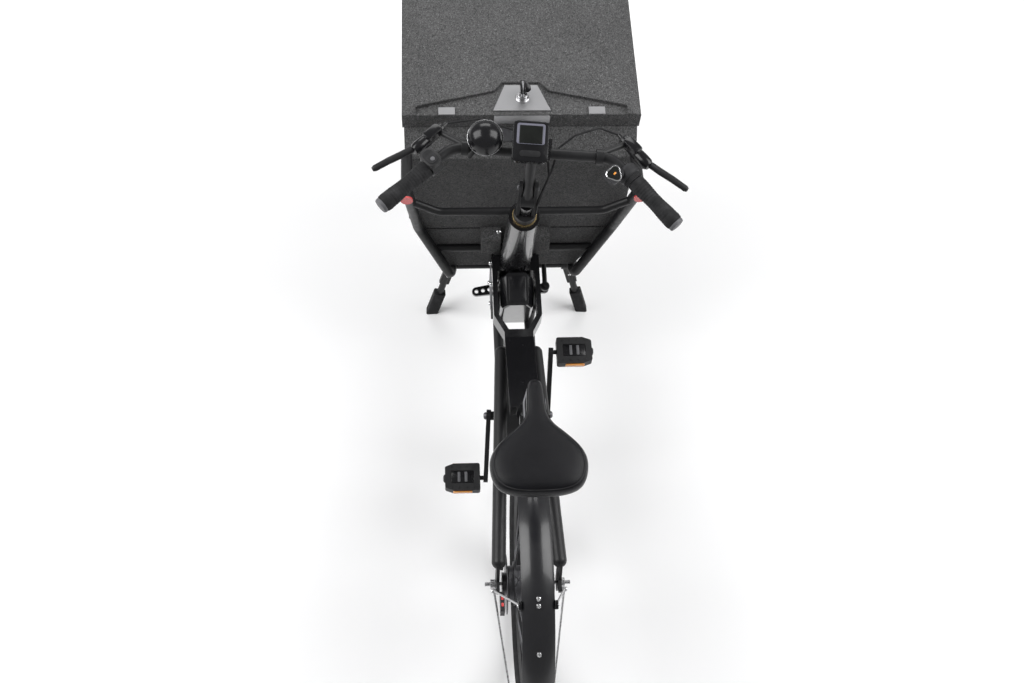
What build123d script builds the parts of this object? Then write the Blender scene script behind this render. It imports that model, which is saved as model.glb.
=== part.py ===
from build123d import *
from collections import namedtuple
import math
import os

# Electric cargo bike with a closed foam box between the handlebar and the front wheel.
# Millimetres, +X to the rider's right, +Y forward, +Z up, ground at Z = 0.
# Y counts forward from the rear axle of the standard wheel and is shifted to the bike's middle at export.

os.makedirs("parts", exist_ok=True)

# Gaps between neighbours
FIT = 0.05                    # radial running clearance of shafts in their bores
SEAT = 0.3                    # gap where two pieces are welded or seated together

# Wheels
REAR_RADIUS = 338.0
REAR_TYRE = 54.0
REAR_TYRE_FRONT = 338.0       # foremost point of the rear tyre
REAR_AXLE_Y = REAR_TYRE_FRONT - REAR_RADIUS
FRONT_RADIUS = 246.0
FRONT_TYRE = 50.0
FRONT_TYRE_BACK = 1364.0      # rearmost point of the front tyre
FRONT_AXLE_Y = FRONT_TYRE_BACK + FRONT_RADIUS
RIM_DEPTH = 14.0
AXLE_RADIUS = 5.0
FENDER_SHEET = 2.5
FENDER_GAP = 8.0              # tyre crown to fender edge
FENDER_CROWN = 13.0           # rise of the fender's arch from edge to middle

# Steering
LEAN = 15.0                   # column and fork axes, degrees back from the vertical
STEER_AT_REST = -4.5          # handlebar stands a little to the right
COLUMN_Y = 770.0              # column axis at the height COLUMN_Z
COLUMN_Z = 785.0
COLUMN_TOP = 848.0
COLUMN_R_LOW = 44.0
COLUMN_R_TOP = 38.0
SHAFT_RADIUS = 15.0
FORK_OFFSET = 30.0            # front axle ahead of the fork axis
ARM_REACH = 100.0             # both steering arms, axis to rod pin
ARM_Z = 214.0
ARM_SWEEP = 22.0              # left wing of the column's arm, set back at its tip
PIN_RADIUS = 6.0
ROD_RADIUS = 7.0

# Lower frame
BEAM_WIDE = 80.0
BEAM_TALL = 44.0
BEAM_Z = 276.0
BEAM_KNEE_Y = 1235.0
BLOCK_REAR = 795.0
BLOCK_FRONT = 845.0
BLOCK_HALF = 62.0
HEAD_CLEAR = 56.0             # front tyre to the lower end of the head tube
HEAD_LENGTH = 92.0
HEAD_LOW = 2 * FRONT_RADIUS + HEAD_CLEAR
HEAD_TOP = HEAD_LOW + HEAD_LENGTH
HEAD_RADIUS = 26.0
STEERER_RADIUS = 14.0

# Rear frame
CRADLE_LOW = 430.0
CRADLE_TALL = 48.0
CRADLE_HALF = 64.0
RAIL_WIDE = 13.0
BRIDGE_HALF = 38.0
BRIDGE_Y = 635.0              # front edge of the bridge
BRIDGE_RISE = 94.0            # climb of the top bridge towards the seat tube
SEAT_TUBE_RADIUS = 18.0
SEAT_TUBE_ANGLE = 29.5        # back from the vertical
SEAT_TUBE_Y = 372.0           # seat tube axis at the height SEAT_TUBE_Z
SEAT_TUBE_Z = 550.0
SEAT_TUBE_TOP = 580.0
POST_RADIUS = 14.0
STAY_RADIUS = 17.5
STAY_FRONT = (46.0, 600.0, 424.0)
STAY_REAR = (74.0, REAR_AXLE_Y + 25.0, REAR_RADIUS + 102.0)
DROPOUT_INNER = 72.0
DROPOUT_THICK = 8.0
SADDLE_TOP = 905.0
SADDLE_THICK = 48.0

# Drive
CRANK_Y = 478.0
CRANK_Z = 290.0
CRANK_LENGTH = 170.0
CRANK_ANGLE = 33.0            # right crank, raised ahead of the axis
CRANK_INNER = 84.0            # middle plane to the arm, at the pedal
CRANK_LEAN = 4.0              # arms lean outwards to the pedals
CRANK_THICK = 12.0
SPINDLE_RADIUS = 12.0
MOTOR_HALF = 50.0
PEDAL_X = 153.0
PEDAL_SIZE = (95.0, 78.0, 24.0)
PEDAL_WINDOW = 12.0           # spindle to the middle of each slot
CHAIN_X = 59.0
RING_RADIUS = 72.0
COG_RADIUS = 42.0
CHAIN_THICK = 7.0
CHAIN_WIDE = 8.0

# Box
WALL = 38.0
TUB_BOTTOM = 345.0
TUB_REAR = 921.0
TUB_FRONT = 1560.0
SEAM_Z = 905.0
LID_TOP = 962.0
LID_REAR = 976.0
LID_HALF = 290.0
LID_BEVEL = 42.0
BAND_DROP = 12.0              # lid's rear band below its top, at the rear edge
HINGE_RADIUS = 6.0
CAGE_RADIUS = 14.0
BAR_RADIUS = 10.0
CAGE_END_Y = 792.0
CAGE_END_Z = 866.0
CAGE_END_X = LID_HALF - 9.0
CAGE_KNEE_X = LID_HALF - 30.0
CAGE_KNEE_Z = 570.0
CAGE_LOW_X = LID_HALF - 118.0
HIGH_BAR_Z = 757.0
HIGH_BAR_RISE = 43.0          # climb of the upper bar's ends
LOW_BAR_Z = 446.0
SHOULDER_Z = 850.0
GROOVE_Z = 537.0              # groove across the rear wall

# Stand
STAND_Y = 1003.0
STAND_Z = 208.0
STAND_HALF = 172.0
FOOT_X = 231.0
FOOT_Y = 966.0
LEG_RADIUS = 12.0
LEG_SIZE = (30.0, 16.0)
NECK_RADIUS = 10.0
FOOT_SIZE = (35.0, 26.0)
FOOT_LENGTH = 92.0
LUG_X = 22.0
LUG_RADIUS = 20.0

# Handlebar
BAR_Y = 757.0
BAR_Z = 1098.0
BEND_X = 178.0
GRIP_END = (320.0, 615.0, 1068.0)
HANDLEBAR_RADIUS = 12.0
GRIP_RADIUS = 18.0
GRIP_LENGTH = 128.0

TILT = math.tan(math.radians(LEAN))
COS_LEAN = math.cos(math.radians(LEAN))
UP = Vector(0, -math.sin(math.radians(LEAN)), COS_LEAN)
BEAM_TOP = BEAM_Z + BEAM_TALL / 2
BEAM_BOTTOM = BEAM_Z - BEAM_TALL / 2


def column_y(z):
    return COLUMN_Y + (COLUMN_Z - z) * TILT


def fork_y(z):
    return FRONT_AXLE_Y - FORK_OFFSET + (FRONT_RADIUS - z) * TILT


def column_r(z):
    share = (z - BEAM_TOP) / (COLUMN_TOP - BEAM_TOP)
    return COLUMN_R_LOW + share * (COLUMN_R_TOP - COLUMN_R_LOW)


def across(y, z):
    """Plane square to the steering axes; its local Y runs forward."""
    return Plane(origin=(0, y, z), x_dir=(1, 0, 0), z_dir=UP)


def rod(p, q, radius):
    run = Vector(*q) - Vector(*p)
    return extrude(Plane(origin=p, z_dir=run) * Circle(radius), amount=run.length)


def drum(y, z, x0, x1, radius):
    return extrude(Plane(origin=(x0, y, z), z_dir=(1, 0, 0)) * Circle(radius), amount=x1 - x0)


def pipe(points, radius, bend):
    path = FilletPolyline(*points, radius=bend)
    return sweep(Plane(origin=path @ 0, z_dir=path % 0) * Circle(radius), path=path)


def side(points, x0, x1):
    """Outline in Y and Z, carried from x0 to x1."""
    return extrude(Plane.YZ.offset(x0) * Polygon(*points, align=None), amount=x1 - x0, dir=(1, 0, 0))


def rise(points, z0, z1):
    """Outline in X and Y, carried from z0 to z1."""
    return extrude(Plane.XY.offset(z0) * Polygon(*points, align=None), amount=z1 - z0, dir=(0, 0, 1))


def block(x, y, z):
    """Box from three (low, high) pairs."""
    size = [b - a for a, b in (x, y, z)]
    return Pos(*[(a + b) / 2 for a, b in (x, y, z)]) * Box(*size)


def mirrored(shape):
    return mirror(shape, about=Plane.YZ)


def pair(shape):
    return Compound(children=[shape, mirrored(shape)])


def loop(y0, z0, r0, y1, z1, r1):
    """Face around two circles in the side view, with straight tangents."""
    rim = Sketch() + [Pos(y0, z0) * Circle(r0), Pos(y1, z1) * Circle(r1)]
    return Plane.YZ * make_hull(rim.edges())


def on_axle(y, z):
    return Plane(origin=(0, y, z), x_dir=(1, 0, 0), z_dir=(0, -1, 0))


nodes = {}
steered_by_column = []
steered_by_fork = []
moved_with_rod = []

# Wheels
Wheel = namedtuple("Wheel", "name y radius tyre hub_r hub_half flange_r flange_x spokes cross")
wheels = [
    Wheel("rear", REAR_AXLE_Y, REAR_RADIUS, REAR_TYRE, 44.0, 48.0, 54.0, 32.0, 32, 26.0),
    Wheel("front", FRONT_AXLE_Y, FRONT_RADIUS, FRONT_TYRE, 22.0, 36.0, 34.0, 28.0, 28, 30.0),
]


def tyre_seat(w):
    return w.radius - 0.92 * w.tyre


def wheel_parts(w):
    plane = on_axle(w.y, w.radius)
    axle = Axis((0, w.y, w.radius), (1, 0, 0))
    middle = w.radius - w.tyre / 2
    seat = tyre_seat(w)
    below = Pos(0, seat - w.tyre / 2) * Rectangle(w.tyre * 2, w.tyre)
    tyre = revolve(plane * (Pos(0, middle) * Circle(w.tyre / 2) - below), axle)
    half = 0.3 * w.tyre
    top = seat - SEAT
    section = Polygon((-half, top), (half, top), (0.6 * half, top - RIM_DEPTH),
                      (-0.6 * half, top - RIM_DEPTH), align=None)
    rim = revolve(plane * section, axle)
    hub = drum(w.y, w.radius, -w.hub_half, w.hub_half, w.hub_r)
    for s in (-1, 1):
        hub += drum(w.y, w.radius, s * w.flange_x - 3, s * w.flange_x + 3, w.flange_r)
    reach = top - RIM_DEPTH - SEAT
    spokes = []
    for i in range(w.spokes):
        s = 1 if i % 2 else -1
        out = math.radians(360.0 * i / w.spokes)
        root = out + math.radians(w.cross if (i // 2) % 2 else -w.cross)
        inner = w.flange_r - 4
        start = (s * w.flange_x, w.y + inner * math.sin(root), w.radius + inner * math.cos(root))
        end = (s * 2, w.y + reach * math.sin(out), w.radius + reach * math.cos(out))
        spokes.append(rod(start, end, 1.2))
    return tyre, rim, hub + spokes


for w in wheels:
    tyre, rim, hub = wheel_parts(w)
    if w.name == "rear":
        hub += drum(w.y, w.radius, -64, -w.hub_half, 28)
        hub += drum(w.y, w.radius, -54, -52, 75)
        hub += drum(w.y, w.radius, w.hub_half, 66, 28)
        hub += drum(w.y, w.radius, CHAIN_X - 2, CHAIN_X + 2, COG_RADIUS)
        hub -= drum(w.y, w.radius, -90, 90, AXLE_RADIUS + FIT)
    else:
        hub += drum(w.y, w.radius, -41, -w.hub_half, 20)
        hub += drum(w.y, w.radius, -41, -39, 70)
        hub -= drum(w.y, w.radius, -90, 90, AXLE_RADIUS + FIT)
    nodes[w.name + "_tyre"] = tyre
    nodes[w.name + "_rim"] = rim
    nodes[w.name + "_hub"] = hub
steered_by_fork += ["front_tyre", "front_rim", "front_hub"]


# Fenders
def fender(w, half, ahead, behind):
    """Arched sheet over the tyre, from an angle ahead of the top to one behind it."""
    edge = w.radius + FENDER_GAP
    outer = ThreePointArc((-half, edge), (0, edge + FENDER_CROWN), (half, edge))
    inner = ThreePointArc((half - FENDER_SHEET, edge), (0, edge + FENDER_CROWN - FENDER_SHEET),
                          (-half + FENDER_SHEET, edge))
    rims = [Line((half, edge), (half - FENDER_SHEET, edge)),
            Line((-half + FENDER_SHEET, edge), (-half, edge))]
    face = make_face([outer, rims[0], inner, rims[1]])
    axle = Axis((0, w.y, w.radius), (1, 0, 0))
    sheet = revolve(on_axle(w.y, w.radius) * face, axle, ahead + behind)
    return sheet.rotate(axle, -ahead)


def around(w, radius, angle, x):
    """Point at a radius and an angle back from the top of a wheel."""
    a = math.radians(angle)
    return (x, w.y - radius * math.sin(a), w.radius + radius * math.cos(a))


rear, front = wheels
REAR_FENDER_HALF = 37.0
FRONT_FENDER_HALF = 33.0
nodes["rear_fender"] = fender(rear, REAR_FENDER_HALF, 72, 122)
nodes["front_fender"] = fender(front, FRONT_FENDER_HALF, 30, 92)
steered_by_fork.append("front_fender")

EYELET_X, EYELET_Y, EYELET_Z = DROPOUT_INNER + DROPOUT_THICK + 6, REAR_AXLE_Y - 32, REAR_RADIUS + 50
wires = []
for angle in (24, 100):
    foot = (EYELET_X, EYELET_Y, EYELET_Z)
    tip = around(rear, rear.radius + FENDER_GAP + 0.5, angle, REAR_FENDER_HALF + 2.5 + SEAT)
    wires.append(rod(foot, tip, 2.5))
stay_wires = wires[0] + wires[1]
stay_wires += drum(EYELET_Y, EYELET_Z, DROPOUT_INNER + DROPOUT_THICK + SEAT, EYELET_X + 3, 6)
nodes["fender_stays"] = pair(stay_wires)

lamp_at = around(rear, rear.radius + FENDER_GAP + FENDER_CROWN + 1, 88, 0)
lamp = block((-30, 30), (lamp_at[1] - 24, lamp_at[1]), (lamp_at[2] - 22, lamp_at[2] + 22))
shell_r = REAR_RADIUS + FENDER_GAP + FENDER_CROWN
nodes["rear_lamp"] = lamp - drum(REAR_AXLE_Y, REAR_RADIUS, -60, 60, shell_r + SEAT)

# Steering column and front beam
column_height = (COLUMN_TOP - BEAM_BOTTOM) / COS_LEAN


def column_cone(grow):
    low = column_r(BEAM_BOTTOM) + grow
    top = column_r(COLUMN_TOP) + grow
    shape = Cone(low, top, column_height, align=(Align.CENTER, Align.CENTER, Align.MIN))
    return across(column_y(BEAM_BOTTOM), BEAM_BOTTOM) * shape


def column_bore(radius, z0, z1):
    return rod((0, column_y(z0), z0), (0, column_y(z1), z1), radius)


column = column_cone(0) - column_bore(SHAFT_RADIUS + FIT, ARM_Z, COLUMN_TOP + 50)
foot_y = column_y(BEAM_TOP)
column -= block((-200, 200), (foot_y - 200, foot_y + 200), (BEAM_BOTTOM - 200, BEAM_TOP + SEAT))
nodes["column_tube"] = column

race_plane = across(column_y(COLUMN_TOP), COLUMN_TOP)
race = extrude(race_plane.offset(SEAT) * (Circle(29) - Circle(SHAFT_RADIUS + FIT)), amount=9)
nodes["headset_race"] = race

beam_end_z = HEAD_LOW + 52
beam_end = (0, fork_y(beam_end_z), beam_end_z)
beam_path = FilletPolyline((0, BLOCK_FRONT + SEAT, BEAM_Z), (0, BEAM_KNEE_Y, BEAM_Z), beam_end, radius=110)
beam_plane = Plane(origin=beam_path @ 0, x_dir=(1, 0, 0), z_dir=beam_path % 0)
beam = sweep(beam_plane * RectangleRounded(BEAM_WIDE, BEAM_TALL, 13), path=beam_path)
half = BEAM_WIDE / 2
neck, tip = BEAM_KNEE_Y + 55, beam_end[1] + 5
taper = [(-half, 800), (half, 800), (half, neck), (HEAD_RADIUS, tip), (-HEAD_RADIUS, tip), (-half, neck)]
beam &= rise(taper, 0, 1000)
head = rod((0, fork_y(HEAD_LOW), HEAD_LOW), (0, fork_y(HEAD_TOP), HEAD_TOP), HEAD_RADIUS)
beam += head
for s in (-1, 1):
    x0 = s * LUG_X - 5
    lug = block((x0, x0 + 10), (STAND_Y - LUG_RADIUS, STAND_Y + LUG_RADIUS), (STAND_Z, BEAM_BOTTOM + 12))
    beam += lug + drum(STAND_Y, STAND_Z, x0, x0 + 10, LUG_RADIUS)
beam -= rod((0, fork_y(HEAD_LOW - 150), HEAD_LOW - 150), (0, fork_y(HEAD_TOP + 150), HEAD_TOP + 150),
            STEERER_RADIUS + FIT)
beam -= column_bore(SHAFT_RADIUS + FIT, ARM_Z, BEAM_TOP + 100)
beam -= drum(STAND_Y, STAND_Z, -100, 100, LEG_RADIUS - 1 + FIT)
nodes["front_beam"] = beam

# Battery in its leaning cradle, with the block that couples front and rear frames
battery_front = column_r(500) + 5
battery_plane = across(column_y(525), 525)
battery = battery_plane * block((-44, 44), (-battery_front - 90, -battery_front), (-198, 0))
battery_lean = Vector(0, COS_LEAN, -UP.Y)
shoulders = battery.faces().sort_by(Axis.Z)[-1].edges().filter_by(lambda e: abs((e % 0).dot(battery_lean)) > 0.9)
battery = chamfer(shoulders, 34, 15)
battery = fillet(battery.edges().filter_by(lambda e: abs((e % 0).dot(UP)) > 0.9), 10)
nodes["battery"] = battery
battery_low = min(v.Z for v in battery.vertices())
BLOCK_TOP = 318.0
coupling = block((-BLOCK_HALF, BLOCK_HALF), (BLOCK_REAR, BLOCK_FRONT), (BEAM_BOTTOM, BLOCK_TOP))
coupling -= battery_plane * block((-60, 60), (-battery_front - 150, 60), (-198 - SEAT, 100))
coupling -= column_cone(SEAT)
plates = block((BLOCK_HALF - 8, BLOCK_HALF), (BLOCK_REAR + 6, BLOCK_REAR + 112), (BLOCK_TOP - 40, CRADLE_LOW - SEAT))
nodes["coupling_block"] = coupling + plates + mirrored(plates)


# Cradle rails and bridge to the seat tube
def cradle_shape(grow):
    w0 = CRADLE_HALF + grow
    w1 = BRIDGE_HALF + grow
    outline = [(w0, 872), (w0, BRIDGE_Y + 51), (w1, BRIDGE_Y), (w1, 376)]
    plan = outline + [(-x, y) for x, y in reversed(outline)]
    low = CRADLE_LOW - grow
    top = CRADLE_LOW + CRADLE_TALL + grow
    band = [(900, low), (620, low), (376, low + BRIDGE_RISE), (376, top + BRIDGE_RISE), (620, top), (900, top)]
    return rise(plan, 0, 1000) & side(band, -100, 100)


well_half = CRADLE_HALF - RAIL_WIDE
well = [(well_half, 822), (well_half, BRIDGE_Y + 54), (BRIDGE_HALF - 12, BRIDGE_Y + 8)]
well += [(-x, y) for x, y in reversed(well)]
cradle = cradle_shape(0) - rise(well, 0, 1000) - column_cone(SEAT)
seat_dir = Vector(0, -math.sin(math.radians(SEAT_TUBE_ANGLE)), math.cos(math.radians(SEAT_TUBE_ANGLE)))


def seat_point(z):
    return Vector(0, SEAT_TUBE_Y, SEAT_TUBE_Z) + seat_dir * ((z - SEAT_TUBE_Z) / seat_dir.Z)


def seat_rod(z0, z1, radius):
    return rod(tuple(seat_point(z0)), tuple(seat_point(z1)), radius)


cradle -= seat_rod(300, 700, SEAT_TUBE_RADIUS + SEAT)
cradle -= seat_rod(SEAT_TUBE_TOP - 26, 700, SEAT_TUBE_RADIUS + 5 + SEAT)
nodes["cradle"] = cradle


# Drive unit and the tubes around it
def motor_shape(grow):
    outline = loop(CRANK_Y, CRANK_Z, 72 + grow, 562, 328, 58 + grow)
    return extrude(outline, amount=MOTOR_HALF + grow, both=True)


nodes["motor"] = motor_shape(0) - drum(CRANK_Y, CRANK_Z, -100, 100, SPINDLE_RADIUS + FIT)

rail = rod((44, BLOCK_REAR + 20, 283), (44, 560, 296), 14) - motor_shape(SEAT)
rail -= block((0, 100), (BLOCK_REAR - SEAT, BLOCK_REAR + 60), (200, 400))
nodes["lower_rails"] = pair(rail)

seat_tube = seat_rod(340, SEAT_TUBE_TOP, SEAT_TUBE_RADIUS) - motor_shape(SEAT)
seat_tube += seat_rod(SEAT_TUBE_TOP - 24, SEAT_TUBE_TOP, SEAT_TUBE_RADIUS + 5)
seat_tube -= seat_rod(470, 700, POST_RADIUS + FIT)
nodes["seat_tube"] = seat_tube

stay = rod(STAY_FRONT, STAY_REAR, STAY_RADIUS) + Pos(*STAY_FRONT) * Sphere(STAY_RADIUS)
stay += Pos(*STAY_REAR) * Sphere(STAY_RADIUS)
stay -= cradle_shape(SEAT)
plate = [(-16, -20), (16, -20), (24, 12), (44, 94), (44, 108), (6, 108), (-12, 60), (-39, 57), (-39, 43), (-18, 28),
         (-18, 12)]
plate = [(REAR_AXLE_Y + y, REAR_RADIUS + z) for y, z in plate]
stay += side(plate, DROPOUT_INNER, DROPOUT_INNER + DROPOUT_THICK)
stay -= drum(REAR_AXLE_Y, REAR_RADIUS, 0, 200, AXLE_RADIUS + FIT)
stay -= drum(REAR_AXLE_Y - 8, REAR_RADIUS + 34, 0, 200, 2.5)
nodes["rear_stays"] = pair(stay)

nut_x = DROPOUT_INNER + DROPOUT_THICK + SEAT
rear_axle = drum(REAR_AXLE_Y, REAR_RADIUS, -nut_x - 26, nut_x + 26, AXLE_RADIUS)
for s in (-1, 1):
    ends = sorted((s * nut_x, s * (nut_x + 12)))
    rear_axle += drum(REAR_AXLE_Y, REAR_RADIUS, ends[0], ends[1], 12)
nodes["rear_axle"] = rear_axle

inside_left = (-DROPOUT_INNER + SEAT, -DROPOUT_INNER + 11)
nodes["rear_caliper"] = block(inside_left, (REAR_AXLE_Y + 26, REAR_AXLE_Y + 66), (REAR_RADIUS + 28, REAR_RADIUS + 66))
nodes["shift_box"] = block(inside_left, (REAR_AXLE_Y - 84, REAR_AXLE_Y - 36), (REAR_RADIUS + 14, REAR_RADIUS + 58))

# Saddle
post_top = 838.0
post = seat_rod(490, post_top, POST_RADIUS)
clamp_y = seat_point(post_top).Y
post += block((-34, 34), (clamp_y - 24, clamp_y + 24), (post_top - 14, post_top + 4))
nodes["seat_post"] = post
rail_z = post_top + 4 + SEAT + 4
rail_rise = SADDLE_TOP - SADDLE_THICK - SEAT - 4 - rail_z
wire = pipe([(22, clamp_y - 110, rail_z + rail_rise), (22, clamp_y - 60, rail_z), (22, clamp_y + 55, rail_z),
             (12, clamp_y + 84, rail_z + rail_rise)], 4, 20)
nodes["saddle_rails"] = pair(wire)

saddle_low = SADDLE_TOP - SADDLE_THICK
nose_y, tail_y = 302.0, 31.0
right = [
    ThreePointArc((0, nose_y), (12, nose_y - 4), (17, nose_y - 16)),
    Line((17, nose_y - 16), (23, nose_y - 62)),
    ThreePointArc((23, nose_y - 62), (46, nose_y - 105), (80, nose_y - 140)),
    ThreePointArc((80, nose_y - 140), (106, nose_y - 190), (98, tail_y + 33)),
    ThreePointArc((98, tail_y + 33), (82, tail_y + 15), (58, tail_y + 5)),
    ThreePointArc((58, tail_y + 5), (30, tail_y + 1), (0, tail_y)),
]
left = [mirror(e, about=Plane.YZ) for e in right]
outline = make_face(right + left)
saddle = extrude(Plane.XY.offset(saddle_low) * outline, amount=0.6 * SADDLE_THICK, dir=(0, 0, 1))
crown = Pos(0, 0.12 * (nose_y + tail_y) / 2, 0) * scale(outline, 0.88)
nodes["saddle"] = saddle + extrude(Plane.XY.offset(saddle_low) * crown, amount=SADDLE_THICK, dir=(0, 0, 1))

# Crank, chain and pedals
arm_end = CRANK_LENGTH
crank_dy = arm_end * math.cos(math.radians(CRANK_ANGLE))
crank_dz = arm_end * math.sin(math.radians(CRANK_ANGLE))
arm_x = CRANK_INNER + CRANK_THICK / 2 - crank_dy * math.tan(math.radians(CRANK_LEAN))


def crank_arm(s):
    outline = loop(CRANK_Y, CRANK_Z, 17, CRANK_Y + s * crank_dy, CRANK_Z + s * crank_dz, 13)
    arm = Pos(-CRANK_THICK / 2, 0, 0) * extrude(outline, amount=CRANK_THICK, dir=(1, 0, 0))
    arm = arm.rotate(Axis((0, CRANK_Y, CRANK_Z), (0, 0, 1)), -CRANK_LEAN)
    return Pos(s * arm_x, 0, 0) * arm


def pedal_spindle(s, radius, x0, x1):
    y, z = CRANK_Y + s * crank_dy, CRANK_Z + s * crank_dz
    ends = sorted((s * x0, s * x1))
    return drum(y, z, ends[0], ends[1], radius)


crank = drum(CRANK_Y, CRANK_Z, -arm_x, arm_x, SPINDLE_RADIUS)
crank += drum(CRANK_Y, CRANK_Z, MOTOR_HALF + 2, arm_x, 26)
crank += drum(CRANK_Y, CRANK_Z, CHAIN_X - 2, CHAIN_X + 2, RING_RADIUS)
pedal_out = PEDAL_X + PEDAL_SIZE[0] / 2
for s in (1, -1):
    crank += crank_arm(s)
    crank += pedal_spindle(s, 6, CRANK_INNER + 4, pedal_out - 12)
nodes["crank"] = crank
for s, name in ((1, "pedal_right"), (-1, "pedal_left")):
    y, z = CRANK_Y + s * crank_dy, CRANK_Z + s * crank_dz
    body = chamfer(Box(*PEDAL_SIZE).edges().filter_by(Axis.Z).group_by(Axis.X)[-1 if s > 0 else 0], 9, 24)
    body = fillet(body.edges().filter_by(Axis.Z), 6)
    for dy in (-PEDAL_WINDOW, PEDAL_WINDOW):
        body -= Pos(0, dy, 0) * Box(PEDAL_SIZE[0] - 56, 6, 2 * PEDAL_SIZE[2])
    body -= Pos(0, 0, PEDAL_SIZE[2] / 2) * Box(PEDAL_SIZE[0] - 32, 36, 4)
    body -= Pos(0, 0, -PEDAL_SIZE[2] / 2) * Box(PEDAL_SIZE[0] - 32, 36, 4)
    body = Pos(s * PEDAL_X, y, z) * body
    nodes[name] = body - pedal_spindle(s, 6 + FIT, CRANK_INNER, pedal_out - 12 + SEAT)

ring_r, cog_r = RING_RADIUS + 1, COG_RADIUS + 1
inner_chain = loop(CRANK_Y, CRANK_Z, ring_r, REAR_AXLE_Y, REAR_RADIUS, cog_r)
outer_chain = loop(CRANK_Y, CRANK_Z, ring_r + CHAIN_THICK, REAR_AXLE_Y, REAR_RADIUS, cog_r + CHAIN_THICK)
chain = extrude(outer_chain - inner_chain, amount=CHAIN_WIDE, dir=(1, 0, 0))
nodes["chain"] = Pos(CHAIN_X - CHAIN_WIDE / 2, 0, 0) * chain

# Foam box

def tub_outer(top, inset):
    shoulder = LID_REAR + (top - SEAM_Z) * (LID_REAR - TUB_REAR) / (SEAM_Z - SHOULDER_Z)
    outline = [(TUB_REAR, TUB_BOTTOM), (1225, TUB_BOTTOM), (1395, HEAD_TOP + 50), (TUB_FRONT - 10, HEAD_TOP + 120),
               (TUB_FRONT, top), (shoulder, top), (TUB_REAR, SHOULDER_Z)]
    half = [(LID_HALF - 115, TUB_BOTTOM), (LID_HALF - 6, CAGE_KNEE_Z + 20), (LID_HALF - 4, top)]
    rear_view = Polygon(*half, *[(-x, z) for x, z in reversed(half)], align=None)
    side_view = Polygon(*outline, align=None)
    if inset:
        rear_view = offset(rear_view, -inset, kind=Kind.INTERSECTION)
        side_view = offset(side_view, -inset, kind=Kind.INTERSECTION)
    walls = extrude(Plane.XZ * rear_view, amount=2000, dir=(0, 1, 0))
    return extrude(Plane.YZ * side_view, amount=400, both=True) & walls


tub = tub_outer(SEAM_Z, 0)
tub -= tub_outer(SEAM_Z + WALL + 1, WALL)
pad = block((40, 92), (TUB_REAR - 41, TUB_REAR), (LOW_BAR_Z + 14, GROOVE_Z + 3))
pad = chamfer(pad.edges().filter_by(Axis.X).group_by(Axis.Y)[0], 9)
tub += pad + mirrored(pad)
tub -= column_cone(5)
for x0, x1 in ((-LID_HALF, -95), (95, LID_HALF)):
    tub -= block((x0, x1), (TUB_REAR - 1, TUB_REAR + 6), (GROOVE_Z - 3, GROOVE_Z + 3))

# Tube cage behind and below the box
floor_z = TUB_BOTTOM - CAGE_RADIUS - SEAT


def cage_tube(radius):
    return pipe([(CAGE_LOW_X, 1215, floor_z), (CAGE_LOW_X, 893, floor_z), (CAGE_KNEE_X, 905, CAGE_KNEE_Z),
                 (CAGE_END_X - 2, CAGE_END_Y + 18, CAGE_END_Z)], radius, [26, 60])


def bar_y(z):
    """Cross bar just ahead of the column."""
    return column_y(z) + (column_r(z) + BAR_RADIUS + SEAT) / COS_LEAN


cage_side = cage_tube(CAGE_RADIUS)
cage_side += rod((CAGE_END_X, CAGE_END_Y, CAGE_END_Z), (CAGE_END_X, TUB_REAR - SEAT, CAGE_END_Z), CAGE_RADIUS)
nodes["cage_right"] = cage_side
nodes["cage_left"] = mirrored(cage_side)
Bar = namedtuple("Bar", "y z half radius")
bars = [
    Bar(bar_y(LOW_BAR_Z), LOW_BAR_Z, CAGE_LOW_X + 42, BAR_RADIUS),
    Bar(960, BEAM_TOP + 11 + SEAT, CAGE_LOW_X, 11),
    Bar(1125, BEAM_TOP + 11 + SEAT, CAGE_LOW_X, 11),
]
high_y, high_x = bar_y(HIGH_BAR_Z), LID_HALF - 85
high_end = (LID_HALF - 22, high_y, HIGH_BAR_Z + HIGH_BAR_RISE)
high_run = [high_end, (high_x, high_y, HIGH_BAR_Z)]
high_run += [(-x, y, z) for x, y, z in reversed(high_run)]
cage_bars = [pipe(high_run, BAR_RADIUS, 40)]
cage_bars += [drum(b.y, b.z, -b.half, b.half, b.radius) for b in bars]
tubes = cage_tube(CAGE_RADIUS + SEAT) + mirrored(cage_tube(CAGE_RADIUS + SEAT))
nodes["cage_bars"] = Compound(children=[bar - tubes for bar in cage_bars])
low_bar = bars[0]
nodes["box_tub"] = tub - drum(low_bar.y, low_bar.z, -260, 260, low_bar.radius + 1.5)

cap = rod((CAGE_END_X, CAGE_END_Y - 4, CAGE_END_Z), (CAGE_END_X, CAGE_END_Y - SEAT, CAGE_END_Z), CAGE_RADIUS + 1)
nodes["red_reflectors"] = pair(cap)

# Lid with its lock plate and hinges
lid_low = SEAM_Z + SEAT
lid_rear_view = [(LID_HALF, lid_low), (LID_HALF, LID_TOP - 14), (LID_HALF - LID_BEVEL, LID_TOP)]
lid = extrude(Plane.XZ * Polygon(*lid_rear_view, *[(-x, z) for x, z in reversed(lid_rear_view)], align=None),
              amount=2000, dir=(0, 1, 0))
lid &= side([(LID_REAR, lid_low), (LID_REAR, LID_TOP - 10), (LID_REAR + 18, LID_TOP), (TUB_FRONT - 30, LID_TOP),
             (TUB_FRONT, LID_TOP - 20), (TUB_FRONT, lid_low)], -400, 400)


def band_layer(low, high):
    """Layer between two heights over the lid's lowered rear band, which falls towards the rear edge."""
    y0, y1 = LID_REAR - 20, LID_REAR + 120
    z0, z1 = LID_TOP - BAND_DROP - 1, LID_TOP - BAND_DROP + 9
    return side([(y0, z0 + low), (y1, z1 + low), (y1, z1 + high), (y0, z0 + high)], -LID_HALF, LID_HALF)


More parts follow.
